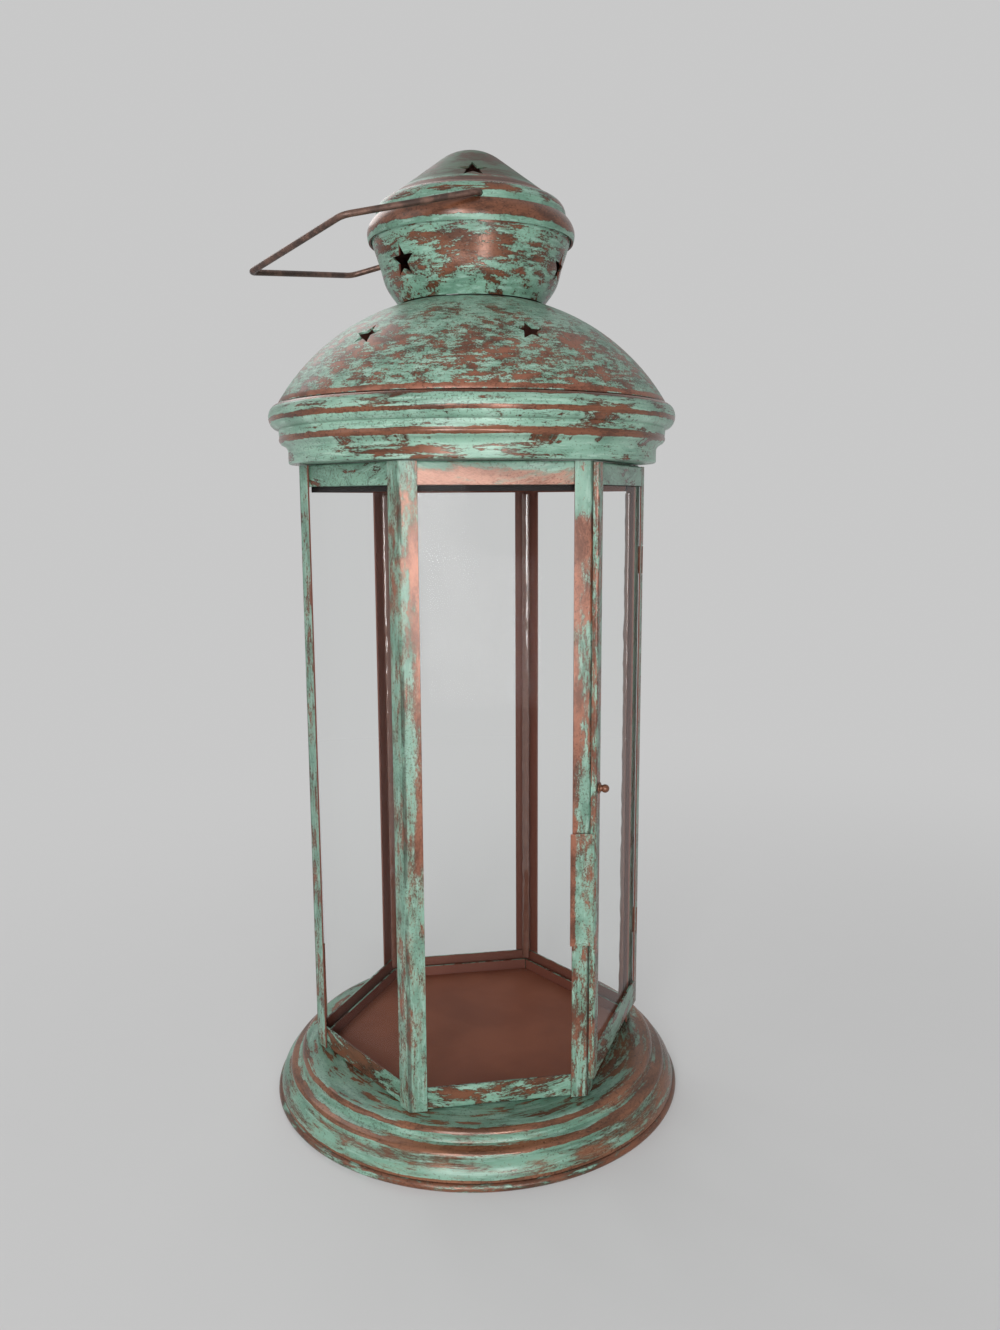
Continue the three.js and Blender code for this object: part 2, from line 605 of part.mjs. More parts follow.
function wirePath(corners) {
  const path = new THREE.CurvePath();
  let from = bailPoint(corners[0][0], corners[0][1]);
  corners.slice(1).forEach(([side, reachOut, round], i) => {
    const corner = bailPoint(side, reachOut);
    const next = corners[i + 2] ? bailPoint(corners[i + 2][0], corners[i + 2][1]) : corner;
    const back = from.clone().sub(corner).normalize();
    const before = corner.clone().addScaledVector(back, round);
    path.add(new THREE.LineCurve3(from, before));
    if (round > 0) {
      const onward = next.clone().sub(corner).normalize();
      const after = corner.clone().addScaledVector(onward, round);
      path.add(new THREE.QuadraticBezierCurve3(before, corner, after));
      from = after;
    }
  });
  return path;
}
const wireRing = ring(0, 0, WIRE_R, 8).map(([x, y]) => new THREE.Vector2(x, y));
const bail = new THREE.ExtrudeGeometry(new THREE.Shape(wireRing), {
  steps: 110,
  bevelEnabled: false,
  extrudePath: wirePath(bailCorners),
});
add('bail', weld(bail), 'wire');

export default lantern;
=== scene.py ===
"""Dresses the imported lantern: smooth turned pressings, folded cage and door, patina over copper."""

import math

import bpy
from mathutils import Matrix, Vector


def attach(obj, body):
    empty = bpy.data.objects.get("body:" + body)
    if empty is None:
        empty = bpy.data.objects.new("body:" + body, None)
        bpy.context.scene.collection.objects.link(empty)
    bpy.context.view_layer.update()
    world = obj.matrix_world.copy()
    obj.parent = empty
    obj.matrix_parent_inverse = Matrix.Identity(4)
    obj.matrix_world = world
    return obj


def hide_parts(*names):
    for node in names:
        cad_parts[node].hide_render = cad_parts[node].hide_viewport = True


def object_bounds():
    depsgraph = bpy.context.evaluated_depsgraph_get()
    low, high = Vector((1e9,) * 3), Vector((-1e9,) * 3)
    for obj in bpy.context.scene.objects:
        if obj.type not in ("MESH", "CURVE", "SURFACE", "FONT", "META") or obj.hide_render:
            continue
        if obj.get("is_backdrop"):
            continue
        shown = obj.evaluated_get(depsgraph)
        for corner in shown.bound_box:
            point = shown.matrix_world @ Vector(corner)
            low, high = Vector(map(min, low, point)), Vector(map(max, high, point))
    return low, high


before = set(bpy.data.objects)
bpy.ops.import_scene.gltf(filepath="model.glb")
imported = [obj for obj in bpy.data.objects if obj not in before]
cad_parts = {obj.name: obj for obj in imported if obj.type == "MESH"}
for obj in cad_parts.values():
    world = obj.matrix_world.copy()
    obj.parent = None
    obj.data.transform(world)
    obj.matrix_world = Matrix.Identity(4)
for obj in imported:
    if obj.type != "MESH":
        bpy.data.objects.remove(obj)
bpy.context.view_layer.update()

MM = 0.001
UP = Vector((0, 0, 1))
TINY = 1e-5  # keeps a division by the distance from the axis safe
WELD = 1e-6  # points nearer than this are one
FLOOR_TOP = 20.7  # candle floor above the table, where the frame's origin lies

# Fits and sheet, in millimetres as all sizes below
GAP = 0.3
SHEET = 0.8
PANE = 2.0
PANE_EDGE = 0.25
EDGE = 0.15  # softened edge of cut sheet
FOLD = 0.9  # how far from the corner a rail's bend starts
SHARPEST = 0.3  # limits the mitre of a sharp corner
MITRE_SPARE = 2.0  # length of a rail that the mitre cuts off
TURN_STEPS = 144

# Base
BASE_R = 90.0
ROLL = 3.4
ROLL_EASE = 0.1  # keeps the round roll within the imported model's many-sided one
BASE_TOP = 19.6
BASE_HOLE_R = 46.0
BEAD_R = 84.4
BEAD_H = 11.3
STEP_R = 79.2
STEP_H = 15.8
SHOULDER = 2.6

# Cage
CAGE_R = 72.4
HALF = CAGE_R / 2
APOTHEM = CAGE_R * math.cos(math.radians(30))
FLANGE = 7.0
POST_FOLD = 1.0
POST_EDGE = math.hypot(APOTHEM, HALF - FLANGE)
SOFFIT = 274.2
POST_LOW = BASE_TOP + GAP
POST_TOP = SOFFIT - GAP
LOW_RAIL = 9.2
LOW_LIP = 5.5
TOP_RAIL = 8.6
TOP_LIP = 11.0
LIP_OUT = -SHEET - GAP
PANE_OUT = LIP_OUT - SHEET - GAP
LIP_IN = PANE_OUT - PANE - GAP - SHEET
SEALANT_HEART = 67.3  # from the lantern's axis
SEALANT_DEEP = 1.0
SEALANT_WIDE = 1.9
SEALANT_RINGS = 120
RIPPLE_LONG = 6.0
RIPPLE_DEEP = 0.9

# Door
DOOR_SIDE = 60
DOOR_OFF = 0.3
DOOR_OUT = 2.5
DOOR_PANE = 1.0
DOOR_PANE_EDGE = 0.2
DOOR_LOW = 28.0
DOOR_TOP = SOFFIT - 3 * GAP
DOOR_LAP = 0.8  # past the corners of the cage
DOOR_EDGE = -(HALF + DOOR_LAP)
STILE = 5.5
DOOR_TOP_RAIL = 8.5
DOOR_LOW_RAIL = 11.6
BARREL_R = 1.1
CURL = 0.45
LEAF_LONG = 2.0
PIN_ALONG = HALF + DOOR_LAP - BARREL_R
PIN_OUT = DOOR_OUT - BARREL_R
KNUCKLE = 12.0
KNUCKLE_EDGE = 0.08
KNUCKLE_INSET = 34.0  # from the door's ends
KNUCKLE_LOWS = (DOOR_LOW + KNUCKLE_INSET, DOOR_TOP - KNUCKLE_INSET - KNUCKLE)
KNOB_H = 148.8
KNOB_FOOT_R = 2.3
KNOB_FOOT_EDGE = 0.25
KNOB_BALL_R = 1.65
KNOB_LONG = 4.4
CATCH_LOW = 85.0
CATCH_TALL = 46.0
CATCH_LAP = 8.0
CATCH_FOLD = 1.2
CATCH_EDGE = 0.2

# Roof
CORNICE_FOOT_R = 76.3
CORNICE_FOOT = 5.2
CORNICE_MID_R = 79.9
CORNICE_MID_TOP = 287.8
CORNICE_R = 83.8
CORNICE_TOP = 297.6
CORNICE_HOLE_R = 56.0
DOME_BALL = 88.5
DOME_RING = 3.85
DOME_FOOT_R = 79.6
DOME_UPSTAND = 0.8
FLUE_R = 25.0
COWL_FOOT_R = 29.7
COWL_TOP_R = 40.5
COWL_TALL = 25.0
RIM_R = 42.2
RIM_DOWN = 3.0
RIM_UP = 5.6
RIM_LAP = 0.8  # down over the top of the cowl
CAP_R = 38.6
CAP_BAND = 6.0
CAP_SKIRT = 5.2
CAP_REVEAL = 1.6  # straight wall that shows above the rim
CAP_RISE = 25.7
CAP_NOSE = 21.0
DOME_SINK = math.sqrt(DOME_BALL**2 - (DOME_FOOT_R - DOME_RING) ** 2)
DOME_HEART = CORNICE_TOP + GAP + DOME_UPSTAND - DOME_SINK


def dome_height(r):
    return DOME_HEART + math.sqrt(DOME_BALL**2 - (r - DOME_RING) ** 2)


COWL_FOOT = dome_height(COWL_FOOT_R - SHEET) + GAP
COWL_TOP = COWL_FOOT + COWL_TALL
RIM_EDGE = COWL_TOP + RIM_DOWN - RIM_LAP
CAP_FOOT = RIM_EDGE + RIM_UP + CAP_REVEAL
BAIL_HOLE = CAP_FOOT + 0.1
CAP_IN = CAP_R - CAP_BAND
CREASE = CAP_FOOT + CAP_BAND + 0.7
APEX = CAP_FOOT + CAP_RISE

# Stars: how many, turn of the first from the front, degrees
STAR_R = 6.5
STAR_WAIST = 0.42
STAR_PUNCH = 8.0
DOME_STARS = (6, 12.2)
COWL_STARS = (3, -54.5)
CAP_STARS = (3, -6.0)
DOME_STAR_LEAN = math.radians(40.2)
COWL_STAR_SLOPE = -0.34
COWL_STAR_POINT = 14  # of the cowl's outline
CAP_STAR_AT = 0.76  # of the way from the apex to the crease

# Bail
WIRE_R = 1.25
BAIL_TURN = -3.4
BAIL_LEAN = 14.0
BAIL_SHOULDER = 52.5
BAIL_LEG = 51.7
BAIL_REACH = 91.8
BAIL_TIP = 12.0
BAIL_START = CAP_R + WIRE_R + 2 * GAP
BAIL_DRILL = 14.0
DRILL_EASE = 0.15


# Outlines: lists of (x, y) in millimetres
def arc(x, y, rx, ry, start, end, steps):
    turns = [math.radians(start + (end - start) * i / steps) for i in range(steps + 1)]
    return [(x + rx * math.cos(a), y + ry * math.sin(a)) for a in turns]


def bend(start, control, end, steps):
    points = []
    for i in range(steps + 1):
        t = i / steps
        shares = ((1 - t) ** 2, 2 * t * (1 - t), t * t)
        points.append(tuple(sum(w * p[k] for w, p in zip(shares, (start, control, end))) for k in (0, 1)))
    return points


def through(points, steps):
    """A smooth line through a few points."""
    ends = [points[0], *points, points[-1]]
    ends[0] = tuple(2 * a - b for a, b in zip(points[0], points[1]))
    ends[-1] = tuple(2 * a - b for a, b in zip(points[-1], points[-2]))
    line = []
    for before, here, there, after in zip(ends, ends[1:], ends[2:], ends[3:]):
        for i in range(steps):
            t = i / steps
            line.append(tuple(
                0.5 * (
                    2 * q + (r - p) * t + (2 * p - 5 * q + 4 * r - s) * t**2 + (3 * q - p - 3 * r + s) * t**3
                )
                for p, q, r, s in zip(before, here, there, after)
            ))
    return line + [points[-1]]


def rounded(path, radius, steps=4):
    """The path with each inner corner drawn as a curve that starts and ends radius away from it."""
    points = [path[0]]
    for before, corner, after in zip(path, path[1:], path[2:]):
        ends = []
        for other in (before, after):
            length = math.dist(corner, other)
            ends.append(tuple(c + (o - c) * radius / length for c, o in zip(corner, other)))
        points += bend(ends[0], corner, ends[1], steps)
    return points + [path[-1]]


def sheet(path, thickness=SHEET):
    """Closed outline of a sheet laid on the left of a path, with mitred corners."""
    far = []
    for i, point in enumerate(path):
        normals = []
        for p, q in zip(path[max(i - 1, 0) : i + 1], path[max(i, 1) : i + 2] if i else path[1:2]):
            length = math.dist(p, q)
            normals.append((-(q[1] - p[1]) / length, (q[0] - p[0]) / length))
        mean = [sum(n[k] for n in normals) / len(normals) for k in (0, 1)]
        reach = max(mean[0] ** 2 + mean[1] ** 2, SHARPEST)
        far.append(tuple(point[k] + thickness * mean[k] / reach for k in (0, 1)))
    return list(path) + far[::-1]


# Places: a cage side or a turn is an angle counted from the front towards the right
def outwards(turn):
    return Vector((math.sin(math.radians(turn)), -math.cos(math.radians(turn)), 0))


def sideways(turn):
    return Vector((math.cos(math.radians(turn)), math.sin(math.radians(turn)), 0))


def spot(x, y, h):
    return Vector((x, y, h - FLOOR_TOP)) * MM


def on_side(side, along, out, h):
    flat = outwards(side) * (APOTHEM + out) + sideways(side) * along
    return spot(flat.x, flat.y, h)


def on_turn(turn, r, h):
    flat = outwards(turn) * r
    return spot(flat.x, flat.y, h)


def plan(flat):
    """A vector's (x, y), as a point of an outline."""
    return tuple(flat[:2])


# Modelling
def clear_selection():
    bpy.ops.object.select_all(action="DESELECT")


def only(piece):
    clear_selection()
    piece.select_set(True)
    bpy.context.view_layer.objects.active = piece


def start(name):
    """A new piece in edit mode, drawn in to one point at the origin."""
    clear_selection()
    bpy.ops.mesh.primitive_plane_add(size=MM)
    piece = bpy.context.object
    piece.name = piece.data.name = name
    bpy.ops.object.mode_set(mode="EDIT")
    bpy.ops.mesh.select_all(action="SELECT")
    bpy.ops.mesh.merge(type="CENTER")
    return piece


def draw(points):
    """Pull the one selected point out into a line through the given points."""
    bpy.ops.transform.translate(value=points[0])
    for here, there in zip(points, points[1:]):
        bpy.ops.mesh.extrude_region_move(TRANSFORM_OT_translate={"value": there - here})


def weld():
    bpy.ops.mesh.select_all(action="SELECT")
    bpy.ops.mesh.remove_doubles(threshold=WELD)
    bpy.ops.mesh.normals_make_consistent(inside=False)


def turned(name, outline, centre, axis=UP, across=Vector((1, 0, 0)), steps=TURN_STEPS):
    """Spin an outline of (radius, rise) about an axis through a centre."""
    piece = start(name)
    points = [centre + (across * r + axis * h) * MM for r, h in outline]
    if outline[0][0] > 0:
        points.append(points[0])
    draw(points)
    bpy.ops.mesh.select_all(action="SELECT")
    bpy.ops.mesh.spin(steps=steps, angle=math.tau, center=centre, axis=axis)
    weld()
    bpy.ops.object.mode_set(mode="OBJECT")
    return piece


def round_piece(name, outline):
    return turned(name, outline, spot(0, 0, 0))


def prism(name, corners, rise, edge=EDGE):
    """Fill a closed outline, push it along a vector and soften its edges."""
    piece = start(name)
    draw(corners + corners[:1])
    bpy.ops.mesh.select_all(action="SELECT")
    bpy.ops.mesh.remove_doubles(threshold=WELD)
    bpy.ops.mesh.edge_face_add()
    bpy.ops.mesh.extrude_region_move(TRANSFORM_OT_translate={"value": rise})
    weld()
    bpy.ops.object.mode_set(mode="OBJECT")
    if edge:
        soften(piece, edge)
    return piece


def apply_modifier(piece, kind, **settings):
    only(piece)
    modifier = piece.modifiers.new(kind, kind)
    for key, value in settings.items():
        setattr(modifier, key, value)
    bpy.ops.object.modifier_apply(modifier=modifier.name)


def soften(piece, width):
    sharp = math.radians(50)
    apply_modifier(piece, "BEVEL", width=width * MM, segments=2, limit_method="ANGLE", angle_limit=sharp)


def upright(name, outline, low, high, edge=EDGE):
    """A sheet piece of one plan outline from one height to another."""
    return prism(name, [spot(x, y, low) for x, y in outline], UP * (high - low) * MM, edge)


def side_plan(side, outline):
    """An outline of (along, out) on a cage side as one of (x, y)."""
    return [plan(outwards(side) * (APOTHEM + out) + sideways(side) * along) for along, out in outline]


def side_bar(name, side, section, along_from, along_to, edge=EDGE, mitred=False):
    """A bar along a cage side from a section of (out, height), cut to mitres where asked."""
    corners = [on_side(side, along_from, out, h) for out, h in section]
    bar = prism(name, corners, sideways(side) * (along_to - along_from) * MM, 0)
    if mitred:
        only(bar)
        bpy.ops.object.mode_set(mode="EDIT")
        for end in (1, -1):
            away = sideways(side + 30 * end) * end
            mitre = away * (-GAP / 2 * MM)
            bpy.ops.mesh.select_all(action="SELECT")
            bpy.ops.mesh.bisect(plane_co=mitre, plane_no=away, use_fill=True, clear_outer=True)
        weld()
        bpy.ops.object.mode_set(mode="OBJECT")
    if edge:
        soften(bar, edge)
    return bar


def mitred_rail(name, side, path):
    return side_bar(name, side, sheet(path), -HALF - MITRE_SPARE, HALF + MITRE_SPARE, mitred=True)


def turned_copy(piece, name, turn):
    only(piece)
    bpy.ops.object.duplicate()
    copy = bpy.context.object
    copy.name = copy.data.name = name
    copy.rotation_euler.z = math.radians(turn)
    bpy.ops.object.transform_apply(rotation=True)
    return copy


def cut(piece, tools):
    for tool in tools:
        apply_modifier(piece, "BOOLEAN", object=tool, operation="DIFFERENCE", solver="EXACT")
    clear_selection()
    for tool in tools:
        tool.select_set(True)
    bpy.ops.object.delete()


def star_punch(turn, r, h, slope):
    """A star-shaped prism across a wall, pushed along a slope above level, one tip up."""
    clear_selection()
    bpy.ops.mesh.primitive_circle_add(vertices=10, radius=STAR_R * MM, fill_type="NGON")
    punch = bpy.context.object
    for vertex in punch.data.vertices:
        if vertex.index % 2:
            vertex.co *= STAR_WAIST
    bpy.ops.object.mode_set(mode="EDIT")
    bpy.ops.mesh.select_all(action="SELECT")
    bpy.ops.transform.translate(value=UP * (-STAR_PUNCH / 2 * MM))
    bpy.ops.mesh.extrude_region_move(TRANSFORM_OT_translate={"value": UP * (STAR_PUNCH * MM)})
    weld()
    bpy.ops.object.mode_set(mode="OBJECT")
    push = outwards(turn) * math.cos(slope) + UP * math.sin(slope)
    across = sideways(turn)
    facing = Matrix((across, push.cross(across), push)).transposed().to_4x4()
    punch.matrix_world = Matrix.Translation(on_turn(turn, r, h)) @ facing
    bpy.context.view_layer.update()
    return punch


def punches(stars, r, h, slope):
    count, first = stars
    return [star_punch(first + 360 / count * i, r, h, slope) for i in range(count)]


def coat(piece, material):
    piece.data.materials.clear()
    piece.data.materials.append(material)


def settle(piece, body, slot, material, *nodes, angle=35, folded=False):
    """Smooth, paint and seat a finished piece on its body, in place of any CAD nodes named."""
    only(piece)
    bpy.ops.object.shade_smooth_by_angle(angle=math.radians(angle))
    if folded:
        apply_modifier(piece, "WEIGHTED_NORMAL", keep_sharp=True)
    coat(piece, material)
    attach(piece, body)
    if nodes:
        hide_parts(*nodes)


# Paint
class Value:
    """A number or colour that varies over a surface; arithmetic on it adds Math nodes."""

    def __init__(self, paint, socket):
        self.paint = paint
        self.socket = socket

    def math(self, operation, first, second=0.5):
        return self.paint.node("Math", {"operation": operation}, {0: first, 1: second})

    def __add__(self, other):
        return self.math("ADD", self, other)

    def __radd__(self, other):
        return self.math("ADD", other, self)

    def __sub__(self, other):
        return self.math("SUBTRACT", self, other)

    def __rsub__(self, other):
        return self.math("SUBTRACT", other, self)

    def __mul__(self, other):
        return self.math("MULTIPLY", self, other)

    def __rmul__(self, other):
        return self.math("MULTIPLY", other, self)

    def __truediv__(self, other):
        return self.math("DIVIDE", self, other)

    def __pow__(self, other):
        return self.math("POWER", self, other)

    def __abs__(self):
        return self.math("ABSOLUTE", self)

    def lowest(self, other):
        return self.math("MINIMUM", self, other)

    def highest(self, other):
        return self.math("MAXIMUM", self, other)


class Nodes:
    """A node tree, and the one method that adds to it."""

    def __init__(self, tree):
        self.tree = tree

    def node(self, kind, settings=None, inputs=None, output=0):
        made = self.tree.nodes.new("ShaderNode" + kind)
        for key, value in (settings or {}).items():
            setattr(made, key, value)
        for key, value in (inputs or {}).items():
            self.feed(made.inputs[key], value)
        return Value(self, made.outputs[output])

    def feed(self, socket, value):
        if isinstance(value, Value):
            self.tree.links.new(value.socket, socket)
        else:
            socket.default_value = value

    def show(self, output, shader):
        """Let a shader take the surface of an output node."""
        self.feed(self.tree.nodes[output].inputs["Surface"], shader)

    def seen_ray(self):
        """1 for rays that show the stage to the camera, straight, mirrored or through glass."""
        kinds = ("Camera", "Glossy", "Transmission")
        straight, mirrored, clear = (self.node("LightPath", output=f"Is {kind} Ray") for kind in kinds)
        return straight.highest(mirrored).highest(clear)


class Paint(Nodes):
    """One material and the nodes that colour it."""

    def __init__(self, name):
        self.material = bpy.data.materials.new(name)
        self.material.use_nodes = True
        super().__init__(self.material.node_tree)
        self.shader = self.tree.nodes["Principled BSDF"]
        self.surface = Value(self, self.shader.outputs[0])
        self.place = self.node("TexCoord", output="Object")
        self.normal = self.node("TexCoord", output="Normal")
        self.x, self.y, self.z = (self.node("SeparateXYZ", inputs={0: self.place}, output=i) for i in range(3))

    def vector(self, x, y, z):
        return self.node("CombineXYZ", inputs={0: x, 1: y, 2: z})

    def height(self):
        """Above the table, in millimetres."""
        return self.z * (1 / MM) + FLOOR_TOP

    def spoke(self):
        """Away from the lantern's axis, in metres."""
        return (self.x * self.x + self.y * self.y) ** 0.5 + TINY

    def towards(self, turn):
        """1 on the side that faces a turn, -1 on the far side."""
        way = outwards(turn)
        return (self.x * way.x + self.y * way.y) / self.spoke()

    def noise(self, where, scale=1.0, detail=4.0, rough=0.6, warp=0.0):
        sockets = {"Scale": scale, "Detail": detail, "Roughness": rough, "Distortion": warp}
        return self.node("TexNoise", inputs={"Vector": where, **sockets})

    def ease(self, value, low, high):
        """0 below low, 1 above high, smooth between."""
        ends = {"Value": value, "From Min": low, "From Max": high}
        return self.node("MapRange", {"interpolation_type": "SMOOTHSTEP"}, ends)

    def mix(self, share, one, other, blend="MIX"):
        settings = {"data_type": "RGBA", "blend_type": blend}
        return self.node("Mix", settings, {0: share, 6: one, 7: other}, output=2)

    def darken(self, share, colour):
        return self.mix(share, colour, EDGE_DARK, blend="MULTIPLY")

    def set(self, **sockets):
        """Feed the shader; names use _ for spaces."""
        for name, value in sockets.items():
            self.feed(self.shader.inputs[name.replace("_", " ")], value)

    def bump(self, height, strength, distance):
        sockets = {"Height": height, "Strength": strength, "Distance": distance * MM}
        self.set(Normal=self.node("Bump", inputs=sockets))


def tone(red, green, blue):
    """A shader colour from the screen's 0 to 255 values."""
    return tuple(((c / 255 + 0.055) / 1.055) ** 2.4 for c in (red, green, blue)) + (1,)


TURQUOISE = (tone(95, 133, 114), tone(123, 163, 143), tone(152, 185, 170))  # deep, middle, pale
# A paler copy of the turquoise for the cornice and dome: painted light, lighter for the light and sheen that
# fall on them
PALE_LIT_TURQUOISE = (tone(110, 148, 129), tone(138, 175, 156), tone(166, 195, 180))
POST_TURQUOISE = (tone(98, 135, 117), tone(124, 161, 143), tone(150, 180, 165))
COPPER = (tone(84, 52, 37), tone(126, 80, 58))  # dark, middle
WARM_COPPER = (tone(94, 61, 43), tone(136, 91, 66))
# A lighter, pinker copy of the copper for the posts, door, catch and dome: partly painted sheen
LIT_PINK_COPPER = (tone(100, 61, 45), tone(146, 94, 73))
# A paler copy again, for the front top rail: painted sheen
SHEEN_PALE_COPPER = (tone(122, 80, 63), tone(152, 109, 91))
INSIDE_BROWN = tone(112, 64, 51)
MIST = (tone(70, 55, 43), tone(84, 97, 81))
# Multiplied in over patch edges, dirt, scratches and post bends, and as painted shade in the cap's crease
EDGE_DARK = tone(112, 92, 80)
# Near black for the inner lip under the top rails: painted shade, not the metal's colour
LIP_SHADE_BLACK = tone(24, 17, 16)


def around(radius):
    """Streaks round the axis on a piece of about that radius, of a length and a height in millimetres."""

    def place(paint, length, height):
        spoke = paint.spoke()
        rise = paint.z - spoke * 0.7
        turns = radius / length
        return paint.vector(paint.x / spoke * turns, paint.y / spoke * turns, rise * (1 / (height * MM)))

    return place


def upward(paint, length, height):
    """Streaks along the posts."""
    across = 1 / (height * MM)
    return paint.vector(paint.x * across, paint.y * across, paint.z * (1 / (length * MM)))


def patina(name, place, cover=0.0, size=1.0, stretch=2.2, grit=0.3, crisp=0.03, lines=(), bias=None,
           green=TURQUOISE, bare=COPPER, scuffs=0.4, gloss=0.25, veil=None, lip=None, seam=None):
    """Turquoise brushed over copper.

    place gives the dabs their direction, cover raises the share of turquoise and bias does so from
    spot to spot, grit breaks the dabs up, lines are (height, half width, depth) where copper shows,
    veil is a height above which the coat is misty, lip one below which the metal is painted near
    black as the shade under a rail, and seam says where the coat darkens: dirt along a post's bend
    and painted shade in the cap's crease.
    """
    paint = Paint(name)

    def dabs(length, thin=1.0):
        return place(paint, length * size, length * size / (stretch * thin))

    blots = paint.noise(dabs(15), detail=6, rough=0.62, warp=0.5)
    strokes = paint.noise(dabs(12, 2.6), detail=5, rough=0.62, warp=0.3)
    grain = paint.noise(dabs(1.6), detail=3, rough=0.7)
    drift = paint.noise(dabs(50), detail=2, rough=0.5)
    coat = blots * (0.6 - 0.3 * grit) + strokes * (0.26 + 0.06 * grit) + grain * (0.14 + 0.24 * grit)
    coat = coat + (drift - 0.5) * 0.25 + cover
    if bias:
        coat = coat + bias(paint)
    for height, half, depth in lines:
        away = abs(paint.height() - height)
        wear = 1 - paint.ease(away + (strokes - 0.5) * half * 1.6, 0.45 * half, half)
        coat = coat - wear * depth
    share = paint.ease(coat, 0.5 - crisp, 0.5 + crisp)
    rim = 1 - paint.ease(abs(coat - 0.49), 0.006, 0.03)
    shade = paint.noise(dabs(20), detail=4, rough=0.6)
    deep, middle, pale = green
    turquoise = paint.mix(paint.ease(shade, 0.36, 0.62), deep, middle)
    turquoise = paint.mix(paint.ease(strokes, 0.5, 0.68) * 0.7, turquoise, pale)
    metal = paint.mix(paint.ease(shade + (grain - 0.5) * 0.5, 0.34, 0.62), *bare)
    colour = paint.mix(share, metal, turquoise)
    dull = share * 0.08
    colour = paint.darken(rim * (0.6 * min(1, 0.04 / crisp)), colour)
    specks = paint.noise(paint.place, scale=1100, detail=2, rough=0.6)
    dirt = paint.ease(specks + (drift - 0.5) * 0.3, 0.58, 0.68)
    scratch = paint.noise(dabs(30, 9), detail=2, rough=0.5)
    marks = (1 - paint.ease(abs(scratch - 0.5), 0.003, 0.014)) * paint.ease(drift, 0.42, 0.6)
    colour = paint.darken((dirt * 0.6).highest(marks * scuffs), colour)
    if veil:
        mist = paint.mix(paint.ease(drift + (blots - 0.5) * 0.3, 0.42, 0.6), *MIST)
        above = paint.ease(paint.height(), veil, veil + 2.5)
        colour = paint.mix(above * 0.82, colour, mist)
        dull = dull + above * 0.2
    if seam:
        # The seam darkening is dirt along a post's bend and painted shade in the cap's crease
        dirt_and_crease_shade = seam(paint)
        colour = paint.darken(dirt_and_crease_shade * 0.7, colour)
        dull = dull + dirt_and_crease_shade * 0.4
    # Painted shade: below the lip height the rail is coloured near black, as the shade under the top rail
    if lip:
        below = 1 - paint.ease(paint.height(), lip - 0.3, lip)
        colour = paint.mix(below, colour, LIP_SHADE_BLACK)
        dull = dull + below * 0.5
    spoke = paint.vector(paint.x, paint.y, 0.0)
    facing = paint.node("VectorMath", {"operation": "DOT_PRODUCT"}, {0: paint.normal, 1: spoke}, output="Value")
    inner = paint.ease(facing * -1.0, 0.0004, 0.004)
    colour = paint.mix(inner, colour, INSIDE_BROWN)
    paint.set(Base_Color=colour, Metallic=(1 - share) * (1 - inner) * 0.22,
              Roughness=gloss + dull + inner * 0.2 + (grain - 0.5) * 0.12)
    paint.bump(share * 0.7 + grain * 0.5 + strokes * 0.3, 0.3, 0.14)
    return paint.material


def copper(name, place, flecks=0.66):
    """Copper paint with brushed streaks and, above a noise level, flecks of turquoise."""
    paint = Paint(name)
    strokes = paint.noise(place(paint, 24, 1.2), detail=4, rough=0.6)
    smudge = paint.noise(place(paint, 16, 3), detail=5, rough=0.65, warp=0.4)
    colour = paint.mix(paint.ease(strokes, 0.25, 0.7), *COPPER)
    colour = paint.mix(paint.ease(smudge, flecks, flecks + 0.04) * 0.8, colour, TURQUOISE[1])
    paint.set(Base_Color=colour, Metallic=0.35, Roughness=0.3 + strokes * 0.16)
    paint.bump(strokes, 0.15, 0.08)
    return paint.material


def plain_brown(name):
    paint = Paint(name)
    cloud = paint.noise(paint.place, scale=28, detail=4, rough=0.6)
    colour = paint.mix(paint.ease(cloud, 0.35, 0.65), tone(124, 72, 54), tone(136, 82, 62))
    paint.set(Base_Color=colour, Metallic=0.0, Roughness=0.5 + cloud * 0.14, Specular_IOR_Level=0.15)
    return paint.material


def wire_finish(name):
    paint = Paint(name)
    wear = paint.noise(paint.place, scale=160, detail=5, rough=0.65)
    fine = paint.noise(paint.place, scale=1500, detail=2, rough=0.6)
    colour = paint.mix(paint.ease(wear, 0.4, 0.66), tone(74, 58, 52), tone(124, 94, 82))
    paint.set(Base_Color=colour, Metallic=0.5, Roughness=0.34 + wear * 0.16)
    paint.bump(wear * 0.6 + fine * 0.4, 0.2, 0.06)
    return paint.material


def glass(name):
    """Clear, and plainly see-through for the rays that carry light inwards."""
    paint = Paint(name)
    paint.set(Base_Color=(0.98, 0.986, 0.984, 1), Roughness=0.0, IOR=1.06, Transmission_Weight=1.0)
    clear = paint.node("BsdfTransparent", inputs={"Color": (0.96, 0.97, 0.968, 1)})
    shadow, diffuse = (paint.node("LightPath", output=f"Is {kind} Ray") for kind in ("Shadow", "Diffuse"))
    mirrored = paint.node("LightPath", output="Glossy Depth").lowest(1.0)
    passing = shadow.highest(diffuse).highest(mirrored)
    paint.show("Material Output", paint.node("MixShader", inputs={0: passing, 1: paint.surface, 2: clear}))
    return paint.material


def sealant(name):
    paint = Paint(name)
    cloud = paint.noise(paint.place, scale=260, detail=3, rough=0.6)
    colour = paint.mix(cloud, tone(92, 57, 46), tone(124, 88, 76))
    paint.set(Base_Color=colour, Roughness=0.06 + cloud * 0.08, IOR=1.9)
    return paint.material


